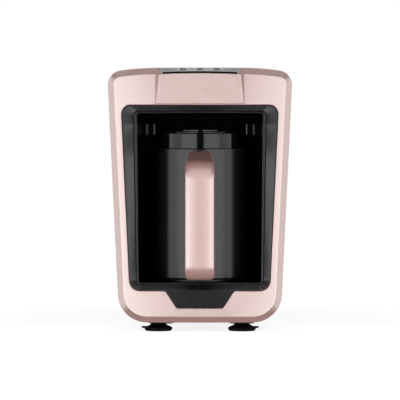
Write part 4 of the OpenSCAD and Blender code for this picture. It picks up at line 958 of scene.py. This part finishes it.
def screen(name, azimuth, span, elevation, rise, distance, radiance, role="", pieces=None,
           spared=None):
    """A soft panel that faces the object from azimuth degrees off the front. span and rise
    are its width and height as angles. A fill only brightens and a shine only reflects. With
    pieces it lights them alone, and with spared all but those."""
    a, e = math.radians(azimuth), math.radians(elevation)
    away = Vector((math.sin(a) * math.cos(e), -math.cos(a) * math.cos(e), math.sin(e))) * distance
    size = [2 * distance * math.tan(math.radians(angle / 2)) for angle in (span, rise)]
    panel = softbox(name, Vector(LIGHT_AIM) + away, LIGHT_AIM, size, radiance)
    panel.visible_glossy = role != "fill"
    panel.visible_diffuse = role != "shine"
    if pieces or spared:
        link_light(panel, pieces or spared, "INCLUDE" if pieces else "EXCLUDE")


def strip(name, low, high, facing, radiance, pieces):
    """A soft flat light between two corners (x, y, z) that share x or z. It faces along
    facing, lights pieces alone and stays unseen itself."""
    middle = Vector(world([(a + b) / 2 for a, b in zip(low, high)]))
    across, along, up = [abs(b - a) * MM for a, b in zip(low, high)]
    size = (along, up) if up else (across, along)
    lamp = softbox(name, middle, middle + Vector(facing), size, radiance)
    lamp.visible_camera = False
    link_light(lamp, pieces, "INCLUDE")


LIGHT_AIM = (0, 0, 0.12)
# Distances of the screens in metres, and the elevation and rise of those in front
FAR, NEAR = 2.0, 1.6
FRONT_E, FRONT_RISE = -8, 46
# Between the pot and the bezel: a strip's front, and its low and high ends
STRIP_FRONT, SILL_Z, LINTEL_Z = -37, 46, 186

# The flanks' shine leaves out the hood, which is the second of the front pieces. tone makes
# both sides equally bright for the camera, which stands to the right.
front_shell = front_pieces[:1]
painted = front_pieces + handle_pieces
for side, tone in ((-1, 0.97), (1, 0.95)):
    tag = "left" if side < 0 else "right"
    screen(tag + "_front", side * 31, 41, FRONT_E, FRONT_RISE, FAR, 3.6 * tone, "shine",
           spared=painted + rear_pieces)
    screen(tag + "_side", side * 70, 38, FRONT_E, FRONT_RISE, NEAR, 3.2 * tone, "shine",
           spared=painted + rear_pieces + bezel_pieces)
    screen(tag + "_near", side * 19, 18, FRONT_E, FRONT_RISE, FAR, 3.65 * tone, "shine", painted)
    screen(tag + "_far", side * 39, 22, FRONT_E, FRONT_RISE, FAR, 2.0 * tone, "shine", painted)
    screen(tag + "_edge", side * 80, 60, -4, 50, NEAR, 2.4 * tone, "shine", handle_pieces)
    screen(tag + "_fill", side * 46, 40, -5, 40, NEAR, 2.7, "fill")
    # Strips inside the bay's mouth, which the pot's round sides reflect
    bay_x, front, inwards = side * (BAY_BOTTOM_W / 2 - 1), MOUTH_Y + 1, (-side, 0, 0)
    for name, depth, radiance, pieces in (("_jacket", 23, 2.0, jacket_pieces),
                                          ("_collar", 39, 1.8, collar_pieces),
                                          ("_band", 17, 0.8, collar_pieces)):
        strip(tag + name, (bay_x, front, BAY_FLOOR), (bay_x, front + depth, BAY_CEILING),
              inwards, radiance, pieces)
    # Strips round the pot, which the bezel's slopes reflect
    strip(tag + "_bezel", (side * 16, STRIP_FRONT, SILL_Z), (side * 16, STRIP_FRONT + 30, 160),
          (side, 0, 0), 4.4, bezel_pieces)
    strip(tag + "_sill", (side * 17, -30, SILL_Z), (side * 50, 12, SILL_Z), (0, 0, 1), 7.0,
          bezel_pieces)
    strip(tag + "_lintel", (side * 17, -30, LINTEL_Z), (side * 50, 12, LINTEL_Z), (0, 0, -1), 7.0,
          bezel_pieces)
    screen(tag + "_flank", side * 93, 84, 0, 70, FAR, 1.2 * tone, "shine",
           front_shell + rear_pieces)
    screen(tag + "_flank_fill", side * 93, 84, 0, 70, FAR, 1.2 * tone, "fill", rear_pieces)
screen("rear", 180, 90, 0, 70, FAR, 1.1, "", rear_pieces)
screen("above", 180, 90, 90, 100, FAR, 1.15, "", rear_pieces)
screen("fore", 0, 90, 35, 60, FAR, 1.1, "shine", rear_pieces)
screen("above_fill", 180, 80, 60, 50, FAR, 1.5, "fill", front_pieces)
screen("above_back", 180, 80, 57, 49, FAR, 1.15, "shine", spared=rear_pieces)
screen("crown", 0, 100, 57, 40, NEAR, 2.2, "shine", bezel_pieces)
screen("hem", 0, 100, -57, 40, NEAR, 2.2, "shine", bezel_pieces)
screen("brow", 0, 60, 38, 46, FAR, 0.9, "shine", handle_pieces)
screen("palm", 0, 60, -2, 30, FAR, 1.3, "fill", handle_pieces)
screen("overhead", 10, 60, 80, 60, 1.2, 0.15, "shine")
screen("high_fill", 0, 60, 50, 60, 1.4, 1.2, "fill", spared=handle_pieces)
screen("low_fill", 0, 60, -50, 60, 1.4, 2.1, "fill", spared=handle_pieces)


def make_world(floor_glow, back_glow, room_glow):
    """What the object sees beyond the screens: the pale table below, a white wall behind it
    and a dim room. The camera itself sees plain white."""
    look = bpy.data.worlds.new("studio")
    look.use_nodes = True
    nodes, links = look.node_tree.nodes, look.node_tree.links
    nodes.clear()
    direction = nodes.new("ShaderNodeTexCoord")
    axes = nodes.new("ShaderNodeSeparateXYZ")
    links.new(direction.outputs["Generated"], axes.inputs["Vector"])

    def glow_along(axis, start, end, glow):
        """A glow that grows from nothing to its full strength between two values of an axis."""
        spread = nodes.new("ShaderNodeMapRange")
        links.new(axes.outputs[axis], spread.inputs["Value"])
        spread.inputs["From Min"].default_value = start
        spread.inputs["From Max"].default_value = end
        spread.inputs["To Min"].default_value = 0.0
        spread.inputs["To Max"].default_value = glow
        return spread.outputs["Result"]

    both, total = nodes.new("ShaderNodeMath"), nodes.new("ShaderNodeMath")
    both.operation = total.operation = "ADD"
    links.new(glow_along("Z", -0.2, -0.6, floor_glow), both.inputs[0])
    links.new(glow_along("Y", 0.82, 0.9, back_glow), both.inputs[1])
    links.new(both.outputs[0], total.inputs[0])
    total.inputs[1].default_value = room_glow

    room, white = nodes.new("ShaderNodeBackground"), nodes.new("ShaderNodeBackground")
    for background in (room, white):
        background.inputs["Color"].default_value = (1, 1, 1, 1)
    links.new(total.outputs[0], room.inputs["Strength"])
    rays, mix = nodes.new("ShaderNodeLightPath"), nodes.new("ShaderNodeMixShader")
    links.new(rays.outputs["Is Camera Ray"], mix.inputs["Fac"])
    links.new(room.outputs["Background"], mix.inputs[1])
    links.new(white.outputs["Background"], mix.inputs[2])
    out = nodes.new("ShaderNodeOutputWorld")
    links.new(mix.outputs["Shader"], out.inputs["Surface"])
    return look


scene = bpy.context.scene
scene.world = make_world(floor_glow=0.05, back_glow=1.1, room_glow=0.02)
scene.view_settings.view_transform = "Standard"

# The camera stands far back, a little to the right and above the middle. VIEW_W is the width
# that it sees at the front of the body.
CAMERA_BACK, CAMERA_X, CAMERA_Z = 2700.0, 31.0, 186.0
AIM_X, AIM_Z, VIEW_W, SENSOR_W = 0.2, 117.8, 353.1, 36.0
camera_data = bpy.data.cameras.new("camera")
camera_data.sensor_width = SENSOR_W
camera_data.lens = SENSOR_W * CAMERA_BACK / VIEW_W
camera = bpy.data.objects.new("camera", camera_data)
camera.location = world((CAMERA_X, -CAMERA_BACK, CAMERA_Z))
aim = Vector(world((AIM_X, 0, AIM_Z)))
camera.rotation_euler = (aim - camera.location).to_track_quat("-Z", "Y").to_euler()
scene.collection.objects.link(camera)
scene.camera = camera
